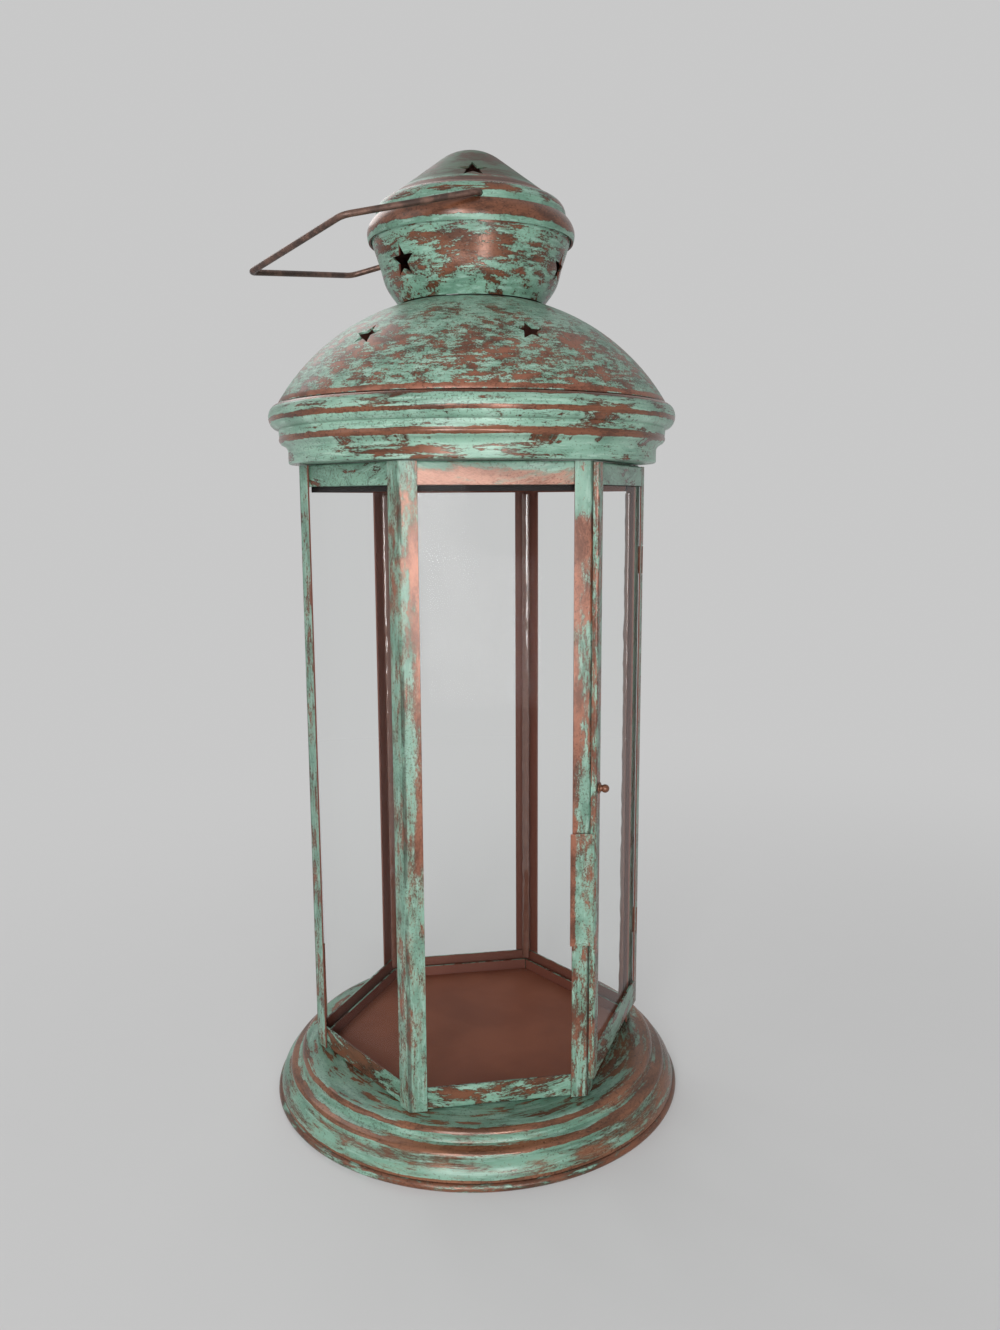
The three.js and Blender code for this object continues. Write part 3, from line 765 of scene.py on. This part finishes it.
# More turquoise on the flat top, partly its colour and partly a painted lift of the light from above; more
# copper towards the right side
def base_bias_and_top_light(paint):
    flat = paint.ease(paint.height(), BASE_TOP - 1.0, BASE_TOP - 0.2)
    right = paint.ease(paint.x, 0.015, 0.07)
    return flat * (1 - right) * 0.07 - right * 0.08


def cowl_bias(paint):
    top = paint.ease(paint.height(), COWL_TOP - 6, COWL_TOP - 2.5)
    foot = 1 - paint.ease(paint.height(), COWL_FOOT + 2, COWL_FOOT + 8)
    upper = paint.ease(paint.height(), COWL_FOOT + 7, COWL_FOOT + 15)
    front = paint.ease(paint.towards(0), 0.86, 1.0) * upper
    return (top + foot) * 0.06 - front * 0.05


def dome_bias(paint):
    return paint.ease(paint.height(), 314, 334) * 0.04


def rim_bias(paint):
    return 0.15 - paint.ease(paint.height(), RIM_EDGE - 2.2, RIM_EDGE + 0.4) * 0.32


def cap_bias(paint):
    """Turquoise along the cap's lower edge."""
    return (1 - paint.ease(paint.height(), CAP_FOOT - 0.2, CAP_FOOT + 1.8)) * 0.14


# Painted shade: darkens the copper in the fold of the cap's crease
def cap_crease_shade(paint):
    return (1 - paint.ease(abs(paint.height() - CREASE - 0.3), 0.7, 2.0)) * 0.5


def post_bias(paint):
    return pane_edge(paint) + paint.ease(paint.height(), 190, 240) * 0.03


def front_post_bias(paint):
    return pane_edge(paint) - paint.ease(paint.height(), 205, 235) * 0.03


def door_post_bias(paint):
    top = paint.ease(paint.height(), 250, 257)
    middle = paint.ease(paint.height(), 208, 222) - top
    return pane_edge(paint) + top * 0.1 - middle * 0.1


def pane_edge(paint):
    """Bare metal along the edge of a front post that lies on the glass."""
    spoke = paint.spoke() * (1 / MM)
    front = 1 - paint.ease(paint.y * (1 / MM), 0.5 - APOTHEM, 1.5 - APOTHEM)
    middle = paint.ease(paint.height(), 96, 130) - paint.ease(paint.height(), 236, 258)
    return (1 - paint.ease(spoke, POST_EDGE + 0.2, POST_EDGE + 1.8)) * middle * front * -0.12


def catch_bias(paint):
    edge = HALF - CATCH_LAP
    return (1 - paint.ease(paint.x * (1 / MM), edge + 1.2, edge + 2.4)) * -0.2


def bend_line(paint):
    """The dirt along the bend of a post."""
    spoke = paint.spoke() * (1 / MM)
    broken = paint.ease(paint.noise(upward(paint, 24, 5), detail=3, rough=0.6), 0.4, 0.52)
    return paint.ease(spoke, CAGE_R - 0.6, CAGE_R - 0.35) * broken


def front_rail_bias(paint):
    return paint.ease(paint.height(), POST_TOP - 5, POST_TOP - 1.2) * 0.16 - 0.08


POST_FINISH = {"size": 0.7, "stretch": 2.4, "grit": 0.55, "green": POST_TURQUOISE, "bare": LIT_PINK_COPPER,
               "scuffs": 0.2, "gloss": 0.24, "seam": bend_line}
RAIL_FOOT = POST_TOP - TOP_RAIL

BASE_PATINA = patina(
    "base_patina", around(84), cover=0.04, size=1.5, stretch=4.0, grit=0.35, crisp=0.07, bias=base_bias_and_top_light,
    bare=WARM_COPPER, lines=((3.9, 1.0, 0.3), (13.2, 1.1, 0.4), (18.6, 1.1, 0.4)),
)
CORNICE_PATINA = patina(
    "cornice_patina", around(81), cover=0.045, size=1.1, stretch=4.6, grit=0.4, scuffs=0.7,
    green=PALE_LIT_TURQUOISE, lines=((297.4, 1.2, 0.6), (291.4, 1.1, 0.2), (283.8, 1.4, 0.6)),
)
DOME_PATINA = patina(
    "dome_patina", around(62), size=0.42, stretch=1.15, grit=0.7, crisp=0.038, bias=dome_bias,
    green=PALE_LIT_TURQUOISE, bare=LIT_PINK_COPPER, gloss=0.34, lines=((299.0, 1.0, 0.5),),
)
COWL_PATINA = patina(
    "cowl_patina", around(36), cover=-0.003, size=0.66, stretch=3.4, grit=0.5, bias=cowl_bias,
)
RIM_PATINA = patina("rim_patina", around(42), size=0.6, stretch=2.4, grit=0.35, bias=rim_bias)
CAP_PATINA = patina(
    "cap_patina", around(30), cover=0.01, size=0.6, stretch=3.2, grit=0.35, bias=cap_bias,
    veil=CREASE + 1.4, lines=((CREASE - 0.2, 2.0, 0.6),), seam=cap_crease_shade,
)
POST_PATINA = patina("post_patina", upward, cover=0.035, crisp=0.055, bias=post_bias, **POST_FINISH)
FRONT_POST_PATINA = patina(
    "front_post_patina", upward, cover=0.035, crisp=0.08, bias=front_post_bias, **POST_FINISH,
)
DOOR_POST_PATINA = patina(
    "door_post_patina", upward, cover=0.02, crisp=0.055, bias=door_post_bias, **POST_FINISH,
)
DOOR_PATINA = patina(
    "door_patina", upward, cover=-0.005, size=0.6, stretch=2.4, grit=0.6, crisp=0.05,
    bare=LIT_PINK_COPPER, scuffs=0.2,
)
CATCH_PATINA = patina(
    "catch_patina", upward, cover=0.03, size=0.45, stretch=1.6, grit=0.8, crisp=0.07, bias=catch_bias,
    green=POST_TURQUOISE, bare=LIT_PINK_COPPER, scuffs=0.2,
)
LOW_RAIL_PATINA = patina("low_rail_patina", around(66), cover=0.01, size=1.0, stretch=2.6)
FRONT_RAIL_PATINA = patina(
    "front_rail_patina", around(66), size=1.0, stretch=3.0, crisp=0.08, bias=front_rail_bias,
    green=POST_TURQUOISE, bare=SHEEN_PALE_COPPER, scuffs=0.2, gloss=0.28, lip=RAIL_FOOT,
)
TOP_RAIL_PATINA = patina("top_rail_patina", around(66), cover=0.05, size=0.9, stretch=2.6, lip=RAIL_FOOT)
ROLL_PATINA = patina(
    "roll_patina", around(88), cover=-0.05, size=1.2, stretch=4.0, grit=0.4, crisp=0.05, gloss=0.3,
)
ROLLED_COPPER = copper("rolled_copper", around(88), flecks=0.7)
BROWN = plain_brown("inside_brown")
WIRE = wire_finish("wire_brown")
GLASS = glass("pane_glass")
SEALANT = sealant("glossy_sealant")


# Base
roll_in = BASE_R - ROLL
roll_half = ROLL / 2 - ROLL_EASE
roll_edge = arc(roll_in + ROLL / 2, ROLL / 2, roll_half, ROLL / 2, -90, 90, 14)
settle(round_piece("copper_roll", [(roll_in, 0), *roll_edge, (roll_in, ROLL)]),
       "frame", "copper", ROLL_PATINA, "base_roll")
base_path = [
    (BASE_R - 1.4, ROLL + GAP),
    *bend((BASE_R - 1.5, ROLL + 0.9), (BASE_R - 2.2, BEAD_H - 2.4), (BEAD_R, BEAD_H), 12),
    *arc(BEAD_R - 2, BEAD_H, 2, 2.2, 25, 80, 6),
    (STEP_R + 0.6, STEP_H - 1.2),
    (STEP_R, STEP_H),
    *arc(STEP_R - SHOULDER, BASE_TOP - SHOULDER, SHOULDER, SHOULDER, 0, 90, 10),
    (BASE_R - 20, BASE_TOP),
    (BASE_HOLE_R, BASE_TOP),
]
settle(round_piece("stepped_base", sheet(base_path)), "frame", "patina", BASE_PATINA, "base")
coat(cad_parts["floor_plate"], BROWN)

# Cage
post_path = rounded([
    plan(outwards(0) * APOTHEM + sideways(0) * (HALF - FLANGE)),
    plan(outwards(30) * CAGE_R),
    plan(outwards(60) * APOTHEM + sideways(60) * (FLANGE - HALF)),
], POST_FOLD)
post = upright("post_front_right_strip", sheet(post_path), POST_LOW, POST_TOP)
POSTS = ("front_right", "right", "back_right", "back_left", "left", "front_left")
posts = [post] + [turned_copy(post, f"post_{name}_strip", 60 * i) for i, name in enumerate(POSTS) if i]
for name, strip in zip(POSTS, posts):
    finish = {"front_left": FRONT_POST_PATINA, "front_right": DOOR_POST_PATINA}.get(name, POST_PATINA)
    settle(strip, "frame", "patina", finish, f"post_{name}", folded=True)

low_path = rounded([
    (LIP_IN, POST_LOW + LOW_LIP),
    (LIP_IN, POST_LOW),
    (LIP_OUT, POST_LOW),
    (LIP_OUT, POST_LOW + LOW_RAIL),
], FOLD)
top_path = rounded([
    (LIP_OUT, RAIL_FOOT),
    (LIP_OUT, POST_TOP),
    (LIP_IN, POST_TOP),
    (LIP_IN, POST_TOP - TOP_LIP),
], FOLD)
corner_half = math.radians(30)
pane_inside = APOTHEM + PANE_OUT - PANE
pane_half = pane_inside * math.tan(corner_half) - GAP - GAP / 2 / math.cos(corner_half)
pane_section = [
    (PANE_OUT, POST_LOW + SHEET + GAP),
    (PANE_OUT - PANE, POST_LOW + SHEET + GAP),
    (PANE_OUT - PANE, POST_TOP - SHEET - GAP),
    (PANE_OUT, POST_TOP - SHEET - GAP),
]
low_rail = mitred_rail("rail_low_front_channel", 0, low_path)
top_rail = mitred_rail("rail_top_front_channel", 0, top_path)
pane = side_bar("pane_front_glass", 0, pane_section, -pane_half, pane_half, edge=PANE_EDGE)
SIDES = {"front": 0, "back_right": 120, "back": 180, "back_left": 240, "front_left": 300}
for name, turn in SIDES.items():
    for first, node, slot, material in (
        (low_rail, f"rail_low_{name}", "patina", LOW_RAIL_PATINA),
        (top_rail, f"rail_top_{name}", "patina", TOP_RAIL_PATINA if turn else FRONT_RAIL_PATINA),
        (pane, f"pane_{name}", "glass", GLASS),
    ):
        piece = turned_copy(first, f"{node}_copy", turn) if turn else first
        settle(piece, "frame", slot, material, node, folded=True)
# Sill and lintel lack the inner lip and its bend
sill = mitred_rail("door_sill", DOOR_SIDE, low_path[6:])
settle(sill, "frame", "patina", LOW_RAIL_PATINA, "sill", folded=True)
lintel = mitred_rail("door_lintel", DOOR_SIDE, top_path[:-6])
settle(lintel, "frame", "patina", TOP_RAIL_PATINA, "lintel", folded=True)

# Clear sealant down the inside of the corners, where the panes meet
sealant_low, sealant_high = POST_LOW + LOW_LIP + 1, POST_TOP - TOP_LIP - 1
sealant_outline = [
    plan(outwards(90) * (SEALANT_HEART + x) + sideways(90) * y)
    for x, y in arc(0, 0, SEALANT_DEEP, SEALANT_WIDE, 0, 345, 23)
]
right_bead = upright("sealant_right", sealant_outline, sealant_low, sealant_high, edge=0)
only(right_bead)
bpy.ops.object.mode_set(mode="EDIT")
for i in range(1, SEALANT_RINGS):
    ring = spot(0, 0, sealant_low + (sealant_high - sealant_low) * i / SEALANT_RINGS)
    bpy.ops.mesh.select_all(action="SELECT")
    bpy.ops.mesh.bisect(plane_co=ring, plane_no=UP)
bpy.ops.object.mode_set(mode="OBJECT")
ripple = bpy.data.textures.new("sealant_ripple", "CLOUDS")
ripple.noise_scale = RIPPLE_LONG * MM
apply_modifier(
    right_bead, "DISPLACE", texture=ripple, texture_coords="GLOBAL", strength=RIPPLE_DEEP * MM, mid_level=0.5,
)
for name, turn in (("right", 0), ("back_right", 60), ("back_left", 120)):
    corner_bead = turned_copy(right_bead, f"sealant_{name}", turn) if turn else right_bead
    settle(corner_bead, "frame", "glass", SEALANT, angle=60)

# Door
stile_in = DOOR_EDGE + STILE
hinge_in = -stile_in
barrel_in = PIN_ALONG - BARREL_R - 1.2
catch_path = rounded([(stile_in, DOOR_OUT), (DOOR_EDGE, DOOR_OUT), (DOOR_EDGE, DOOR_OFF)], FOLD)
stile = upright("catch_stile", side_plan(DOOR_SIDE, sheet(catch_path)), DOOR_LOW, DOOR_TOP)
settle(stile, "door", "patina", DOOR_PATINA, "door_stile_catch", folded=True)

flange_path = [(hinge_in, DOOR_OUT), (barrel_in, DOOR_OUT)]
curl_path = [(hinge_in, DOOR_OUT), *arc(PIN_ALONG, PIN_OUT, BARREL_R, BARREL_R, 90, -205, 28)]
stops = [DOOR_LOW]
for low in KNUCKLE_LOWS:
    stops += [low - GAP, low + KNUCKLE + GAP]
stops.append(DOOR_TOP)
lengths = []
for i, (low, high) in enumerate(zip(stops, stops[1:])):
    path = flange_path if i % 2 else curl_path
    strip = side_plan(DOOR_SIDE, sheet(path[::-1], CURL))
    lengths.append(upright(f"hinge_stile_{i}", strip, low, high, edge=0))
clear_selection()
for length in lengths:
    length.select_set(True)
hinge_stile = lengths[0]
bpy.context.view_layer.objects.active = hinge_stile
bpy.ops.object.join()
hinge_stile.name = hinge_stile.data.name = "hinge_stile"
settle(hinge_stile, "door", "patina", DOOR_PATINA, "door_stile_hinge", folded=True)

knuckle_path = [
    (PIN_ALONG - LEAF_LONG, GAP),
    (PIN_ALONG - 0.8, GAP),
    *arc(PIN_ALONG, PIN_OUT, BARREL_R, BARREL_R, -112, 215, 26),
]
knuckle_plan = side_plan(DOOR_SIDE, sheet(knuckle_path, CURL))
for low, node in zip(KNUCKLE_LOWS, ("hinge_knuckle_low", "hinge_knuckle_top")):
    knuckle = upright(f"{node}_curl", knuckle_plan, low, low + KNUCKLE, edge=KNUCKLE_EDGE)
    settle(knuckle, "frame", "copper", ROLLED_COPPER, node)
coat(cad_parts["hinge_pin"], WIRE)

rail_from = stile_in + GAP
rail_to = hinge_in - GAP
door_low_path = rounded([
    (DOOR_OFF, DOOR_LOW),
    (DOOR_OUT, DOOR_LOW),
    (DOOR_OUT, DOOR_LOW + DOOR_LOW_RAIL),
], FOLD)
door_top_path = rounded([
    (DOOR_OUT, DOOR_TOP - DOOR_TOP_RAIL),
    (DOOR_OUT, DOOR_TOP),
    (DOOR_OFF, DOOR_TOP),
], FOLD)
door_low = side_bar("door_low_strip", DOOR_SIDE, sheet(door_low_path), rail_from, rail_to)
settle(door_low, "door", "patina", LOW_RAIL_PATINA, "door_rail_low", folded=True)
door_top = side_bar("door_top_strip", DOOR_SIDE, sheet(door_top_path), rail_from, rail_to)
settle(door_top, "door", "patina", TOP_RAIL_PATINA, "door_rail_top", folded=True)
door_glass_out = DOOR_OUT - SHEET - GAP
door_section = [
    (door_glass_out, DOOR_LOW + SHEET + GAP),
    (door_glass_out - DOOR_PANE, DOOR_LOW + SHEET + GAP),
    (door_glass_out - DOOR_PANE, DOOR_TOP - SHEET - GAP),
    (door_glass_out, DOOR_TOP - SHEET - GAP),
]
glass_from, glass_to = DOOR_EDGE + SHEET + GAP, PIN_ALONG - LEAF_LONG - GAP
door_pane = side_bar("door_glass", DOOR_SIDE, door_section, glass_from, glass_to, edge=DOOR_PANE_EDGE)
settle(door_pane, "door", "glass", GLASS, "door_pane", folded=True)

knob_foot_in = KNOB_FOOT_R - KNOB_FOOT_EDGE
knob_outline = [
    (0, GAP),
    *arc(knob_foot_in, GAP + KNOB_FOOT_EDGE, KNOB_FOOT_EDGE, KNOB_FOOT_EDGE, -90, 60, 5),
    *bend((1.9, 0.85), (1.2, 1.0), (1.25, 1.8), 6),
    *arc(0, KNOB_LONG - KNOB_BALL_R, KNOB_BALL_R, KNOB_BALL_R, -30, 84, 12),
    (0, KNOB_LONG),
]
knob_seat = on_side(DOOR_SIDE, DOOR_EDGE + STILE / 2, DOOR_OUT, KNOB_H)
knob = turned("catch_knob", knob_outline, knob_seat, outwards(DOOR_SIDE), UP, steps=32)
settle(knob, "door", "copper", ROLLED_COPPER, "door_knob")

# Catch plate, bent round the front-right corner to lie along the door's edge
catch_from = outwards(0) * (APOTHEM + GAP) + sideways(0) * (HALF - CATCH_LAP)
door_line = outwards(DOOR_SIDE) * APOTHEM + sideways(DOOR_SIDE) * (DOOR_EDGE - GAP)
reach = (door_line - catch_from).cross(outwards(DOOR_SIDE)).z / sideways(0).cross(outwards(DOOR_SIDE)).z
catch_bend = catch_from + sideways(0) * reach
catch_tip = door_line + outwards(DOOR_SIDE) * (DOOR_OUT - GAP)
plate_path = rounded([plan(point) for point in (catch_tip, catch_bend, catch_from)], CATCH_FOLD)
plate = upright("catch_plate", sheet(plate_path), CATCH_LOW, CATCH_LOW + CATCH_TALL, edge=CATCH_EDGE)
settle(plate, "frame", "patina", CATCH_PATINA, "catch_spring", folded=True)

# Cornice and dome
foot_top = SOFFIT + CORNICE_FOOT
bead_wide = CORNICE_R - CORNICE_MID_R
bead_half = (CORNICE_TOP - CORNICE_MID_TOP) / 2
cornice_path = [
    (CORNICE_HOLE_R, SOFFIT),
    (CORNICE_FOOT_R - 8, SOFFIT),
    *bend((CORNICE_FOOT_R - 0.8, SOFFIT), (CORNICE_FOOT_R, SOFFIT), (CORNICE_FOOT_R, SOFFIT + 0.8), 4),
    *bend(
        (CORNICE_FOOT_R, foot_top),
        (CORNICE_FOOT_R + 0.4, foot_top + 1.8),
        (CORNICE_MID_R - 1, foot_top + 2.6),
        8,
    ),
    *arc(CORNICE_MID_R - 1.5, foot_top + 4.4, 1.5, 1.6, -50, 30, 8),
    (CORNICE_MID_R, CORNICE_MID_TOP),
    *arc(CORNICE_MID_R, CORNICE_MID_TOP + bead_half, bead_wide, bead_half, -68, 72, 20),
    (DOME_FOOT_R + GAP, CORNICE_TOP),
    (DOME_FOOT_R - 5, CORNICE_TOP),
]
settle(round_piece("cornice_pressing", sheet(cornice_path)), "frame", "patina", CORNICE_PATINA, "cornice")

dome_from = math.degrees(math.acos((DOME_FOOT_R - DOME_RING) / DOME_BALL))
dome_to = math.degrees(math.acos((FLUE_R - DOME_RING) / DOME_BALL))
dome_path = [
    (DOME_FOOT_R, CORNICE_TOP + GAP),
    *arc(DOME_RING, DOME_HEART, DOME_BALL, DOME_BALL, dome_from, dome_to, 36),
]
dome = round_piece("star_dome", sheet(dome_path))
star_r = DOME_RING + DOME_BALL * math.sin(DOME_STAR_LEAN)
cut(dome, punches(DOME_STARS, star_r, dome_height(star_r), math.pi / 2 - DOME_STAR_LEAN))
settle(dome, "frame", "patina", DOME_PATINA, "dome")

# Cowl, rim and cap
cowl_path = through([
    (COWL_FOOT_R, COWL_FOOT),
    (COWL_FOOT_R + 5.1, COWL_FOOT + 0.29 * COWL_TALL),
    (COWL_FOOT_R + 7.5, COWL_FOOT + 0.6 * COWL_TALL),
    (COWL_TOP_R, COWL_TOP),
], 8)
cowl = round_piece("flared_cowl", sheet(cowl_path))
cut(cowl, punches(COWL_STARS, *cowl_path[COWL_STAR_POINT], COWL_STAR_SLOPE))
settle(cowl, "frame", "patina", COWL_PATINA, "cowl")

rim_low = (COWL_TOP_R + GAP + SHEET, RIM_EDGE - RIM_DOWN)
rim_high = (CAP_R + GAP + SHEET, RIM_EDGE + RIM_UP)
rim_path = [
    *bend(rim_low, (RIM_R, RIM_EDGE - RIM_DOWN / 2), (RIM_R, RIM_EDGE), 8),
    *bend((RIM_R, RIM_EDGE), (RIM_R, RIM_EDGE + RIM_UP / 2), rim_high, 14)[1:],
]
settle(round_piece("rolled_rim", sheet(rim_path)), "frame", "patina", RIM_PATINA, "cowl_rim")

cap_slope = 35.0  # a first guess; the cone runs from the crease straight into the round nose
for _ in range(20):
    nose_r = CAP_NOSE * math.sin(math.radians(cap_slope))
    nose_drop = CAP_NOSE * (1 - math.cos(math.radians(cap_slope)))
    cap_slope = math.degrees(math.atan2(APEX - CREASE - nose_drop, CAP_IN - nose_r))
cap_outside = [
    (CAP_R, CAP_FOOT - CAP_SKIRT),
    *arc(CAP_IN, CAP_FOOT, CAP_BAND, CAP_BAND, 0, 80, 14),
    (CAP_IN, CREASE),
    *arc(0, APEX - CAP_NOSE, CAP_NOSE, CAP_NOSE, 90 - cap_slope, 90, 12)[:-1],
]
cap_inside = sheet([*cap_outside, (0, APEX)])[len(cap_outside) + 1 :]
cap_inside[0] = (0, APEX - SHEET)
cap = round_piece("pointed_cap", [(0, APEX), *cap_outside[::-1], *cap_inside[::-1]])
cap_star_r = CAP_IN * CAP_STAR_AT
cap_star_h = CREASE + (CAP_IN - cap_star_r) * math.tan(math.radians(cap_slope))
bail_axis = outwards(BAIL_TURN)
drill_r = WIRE_R + DRILL_EASE
drill_outline = [(0, 0), (drill_r, 0), (drill_r, BAIL_DRILL), (0, BAIL_DRILL)]
drills = []
for end in (1, -1):
    drill_from = on_turn(BAIL_TURN, end * (CAP_R - BAIL_DRILL / 2), BAIL_HOLE)
    drills.append(turned(f"drill_{end}", drill_outline, drill_from, bail_axis * end, UP, steps=24))
cut(cap, punches(CAP_STARS, cap_star_r, cap_star_h, math.radians(90 - cap_slope)) + drills)
settle(cap, "frame", "patina", CAP_PATINA, "cap")

# Bail
bail_lean = math.radians(BAIL_LEAN)
bail_out = sideways(BAIL_TURN) * -math.cos(bail_lean) - UP * math.sin(bail_lean)


def bail_point(side, away):
    return bail_axis * side + bail_out * away + UP * BAIL_HOLE


def bend_wire(corners):
    """Points along a wire through corners of (side, away, radius), bent round each inner one."""
    spots = [bail_point(side, away) for side, away, _ in corners]
    points = [spots[0]]
    for before, middle, after, (_, _, radius) in zip(spots, spots[1:], spots[2:], corners[1:]):
        first, last = (middle + (other - middle).normalized() * radius for other in (before, after))
        for i in range(9):
            t = i / 8
            points.append(first * (1 - t) ** 2 + middle * (2 * t * (1 - t)) + last * t**2)
    return points + [spots[-1]]


bail_in = CAP_IN + 0.4
half_bail = [(bail_in, -BAIL_TIP, 0), (bail_in, 0, 1.8), (BAIL_START, 0, 2.6), (BAIL_SHOULDER, BAIL_LEG, 3.5)]
bail_corners = [*half_bail, (0, BAIL_REACH, 3), *((-s, d, r) for s, d, r in half_bail[::-1])]
bail = start("wire_bail")
draw([spot(*p) for p in bend_wire(bail_corners)])
bpy.ops.object.mode_set(mode="OBJECT")
only(bail)
bpy.ops.object.convert(target="CURVE")
bail = bpy.context.object
bail.data.bevel_depth = WIRE_R * MM
bail.data.bevel_resolution = 4
bail.data.use_fill_caps = True
bpy.ops.object.convert(target="MESH")
bail = bpy.context.object
settle(bail, "bail", "wire", WIRE, "bail")

# Stage
GREY = (0.58, 0.58, 0.58, 1)  # of the backdrop
FLOOR_R = 6.0
FLOOR_DROP = 0.0003
AMBIENT = 0.13

clear_selection()
floor_place = (0, 0, -FLOOR_TOP * MM - FLOOR_DROP)
bpy.ops.mesh.primitive_circle_add(vertices=96, radius=FLOOR_R, fill_type="NGON", location=floor_place)
floor = bpy.context.object
floor.name = "stage_floor"
pale = Paint("pale_floor")
mottle = pale.noise(pale.place, scale=40, detail=3, rough=0.5)
pale.set(Base_Color=pale.mix(mottle, (0.74, 0.74, 0.74, 1), (0.76, 0.76, 0.76, 1)), Roughness=0.9)
distance = (pale.x * pale.x + pale.y * pale.y) ** 0.5
fade = pale.ease(distance, 0.1, 0.7) * 0.55 + 0.45
glow = pale.node("Emission", inputs={"Color": GREY})
shown = pale.node("MixShader", inputs={0: fade * pale.seen_ray(), 1: pale.surface, 2: glow})
pale.show("Material Output", shown)
floor.data.materials.append(pale.material)
floor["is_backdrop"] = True

world = bpy.data.worlds.new("studio")
bpy.context.scene.world = world
world.use_nodes = True
sky = Nodes(world.node_tree)
plain = sky.node("Background", inputs={"Color": (1, 1, 1, 1), "Strength": AMBIENT})
backdrop = sky.node("Background", inputs={"Color": GREY})
sky.show("World Output", sky.node("MixShader", inputs={0: sky.seen_ray(), 1: plain, 2: backdrop}))


def lamp(name, place, wide, tall, power, aim=(0, 0, 0.18), mirrored=True):
    """A soft lamp turned to a point of the lantern; one that isn't mirrored leaves no highlights."""
    bpy.ops.object.light_add(type="AREA", location=place)
    light = bpy.context.object
    light.name = name
    light.visible_camera = light.visible_transmission = False
    light.visible_glossy = mirrored
    light.data.shape = "RECTANGLE"
    light.data.size = wide
    light.data.size_y = tall
    light.data.energy = power
    light.rotation_euler = (Vector(aim) - Vector(place)).to_track_quat("-Z", "Y").to_euler()


lamp("front_lamp", (-0.5, -1.25, 0.42), 0.34, 0.8, 10.4)
lamp("sheen_lamp", (0.02, -1.35, 0.32), 0.28, 0.36, 3.8, aim=(0, 0, 0.2))
lamp("low_lamp", (0.08, -0.64, 0.12), 0.1, 0.14, 0.65, aim=(0, 0, 0.33))
lamp("left_lamp", (-1.2, -0.3, 0.7), 0.8, 0.8, 2.0)
lamp("dome_lamp", (-0.28, 0.58, 0.8), 0.5, 0.5, 1.4, aim=(0, 0, 0.31))
lamp("back_lamp", (-0.5, 1.1, 0.9), 0.8, 0.8, 3.6, mirrored=False)
lamp("far_lamp", (0.3, 1.25, 0.5), 0.8, 0.8, 5, mirrored=False)

# Camera, as fitted to the photograph
PHOTO_TALL = 1330
FOCAL = 1062.99  # in the photograph's pixels
SENSOR = 36.0
CAMERA_AT = (-63.57, -451.65, 260.43)
CAMERA_AHEAD = (0.16122, 0.97461, -0.15543)
CAMERA_ROLL = math.radians(-0.2688)

camera_data = bpy.data.cameras.new("photo_camera")
camera_data.lens = SENSOR * FOCAL / PHOTO_TALL
camera_data.sensor_width = SENSOR
camera_data.clip_start = 0.01
camera = bpy.data.objects.new("photo_camera", camera_data)
bpy.context.scene.collection.objects.link(camera)
bpy.context.scene.camera = camera
ahead = Vector(CAMERA_AHEAD).normalized()
level = ahead.cross(UP).normalized()
above = level.cross(ahead)
right = level * math.cos(CAMERA_ROLL) + above * math.sin(CAMERA_ROLL)
upwards = above * math.cos(CAMERA_ROLL) - level * math.sin(CAMERA_ROLL)
facing = Matrix((right, upwards, -ahead)).transposed().to_4x4()
camera.matrix_world = Matrix.Translation(spot(*CAMERA_AT)) @ facing

bpy.context.scene.view_settings.view_transform = "Standard"

low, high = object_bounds()
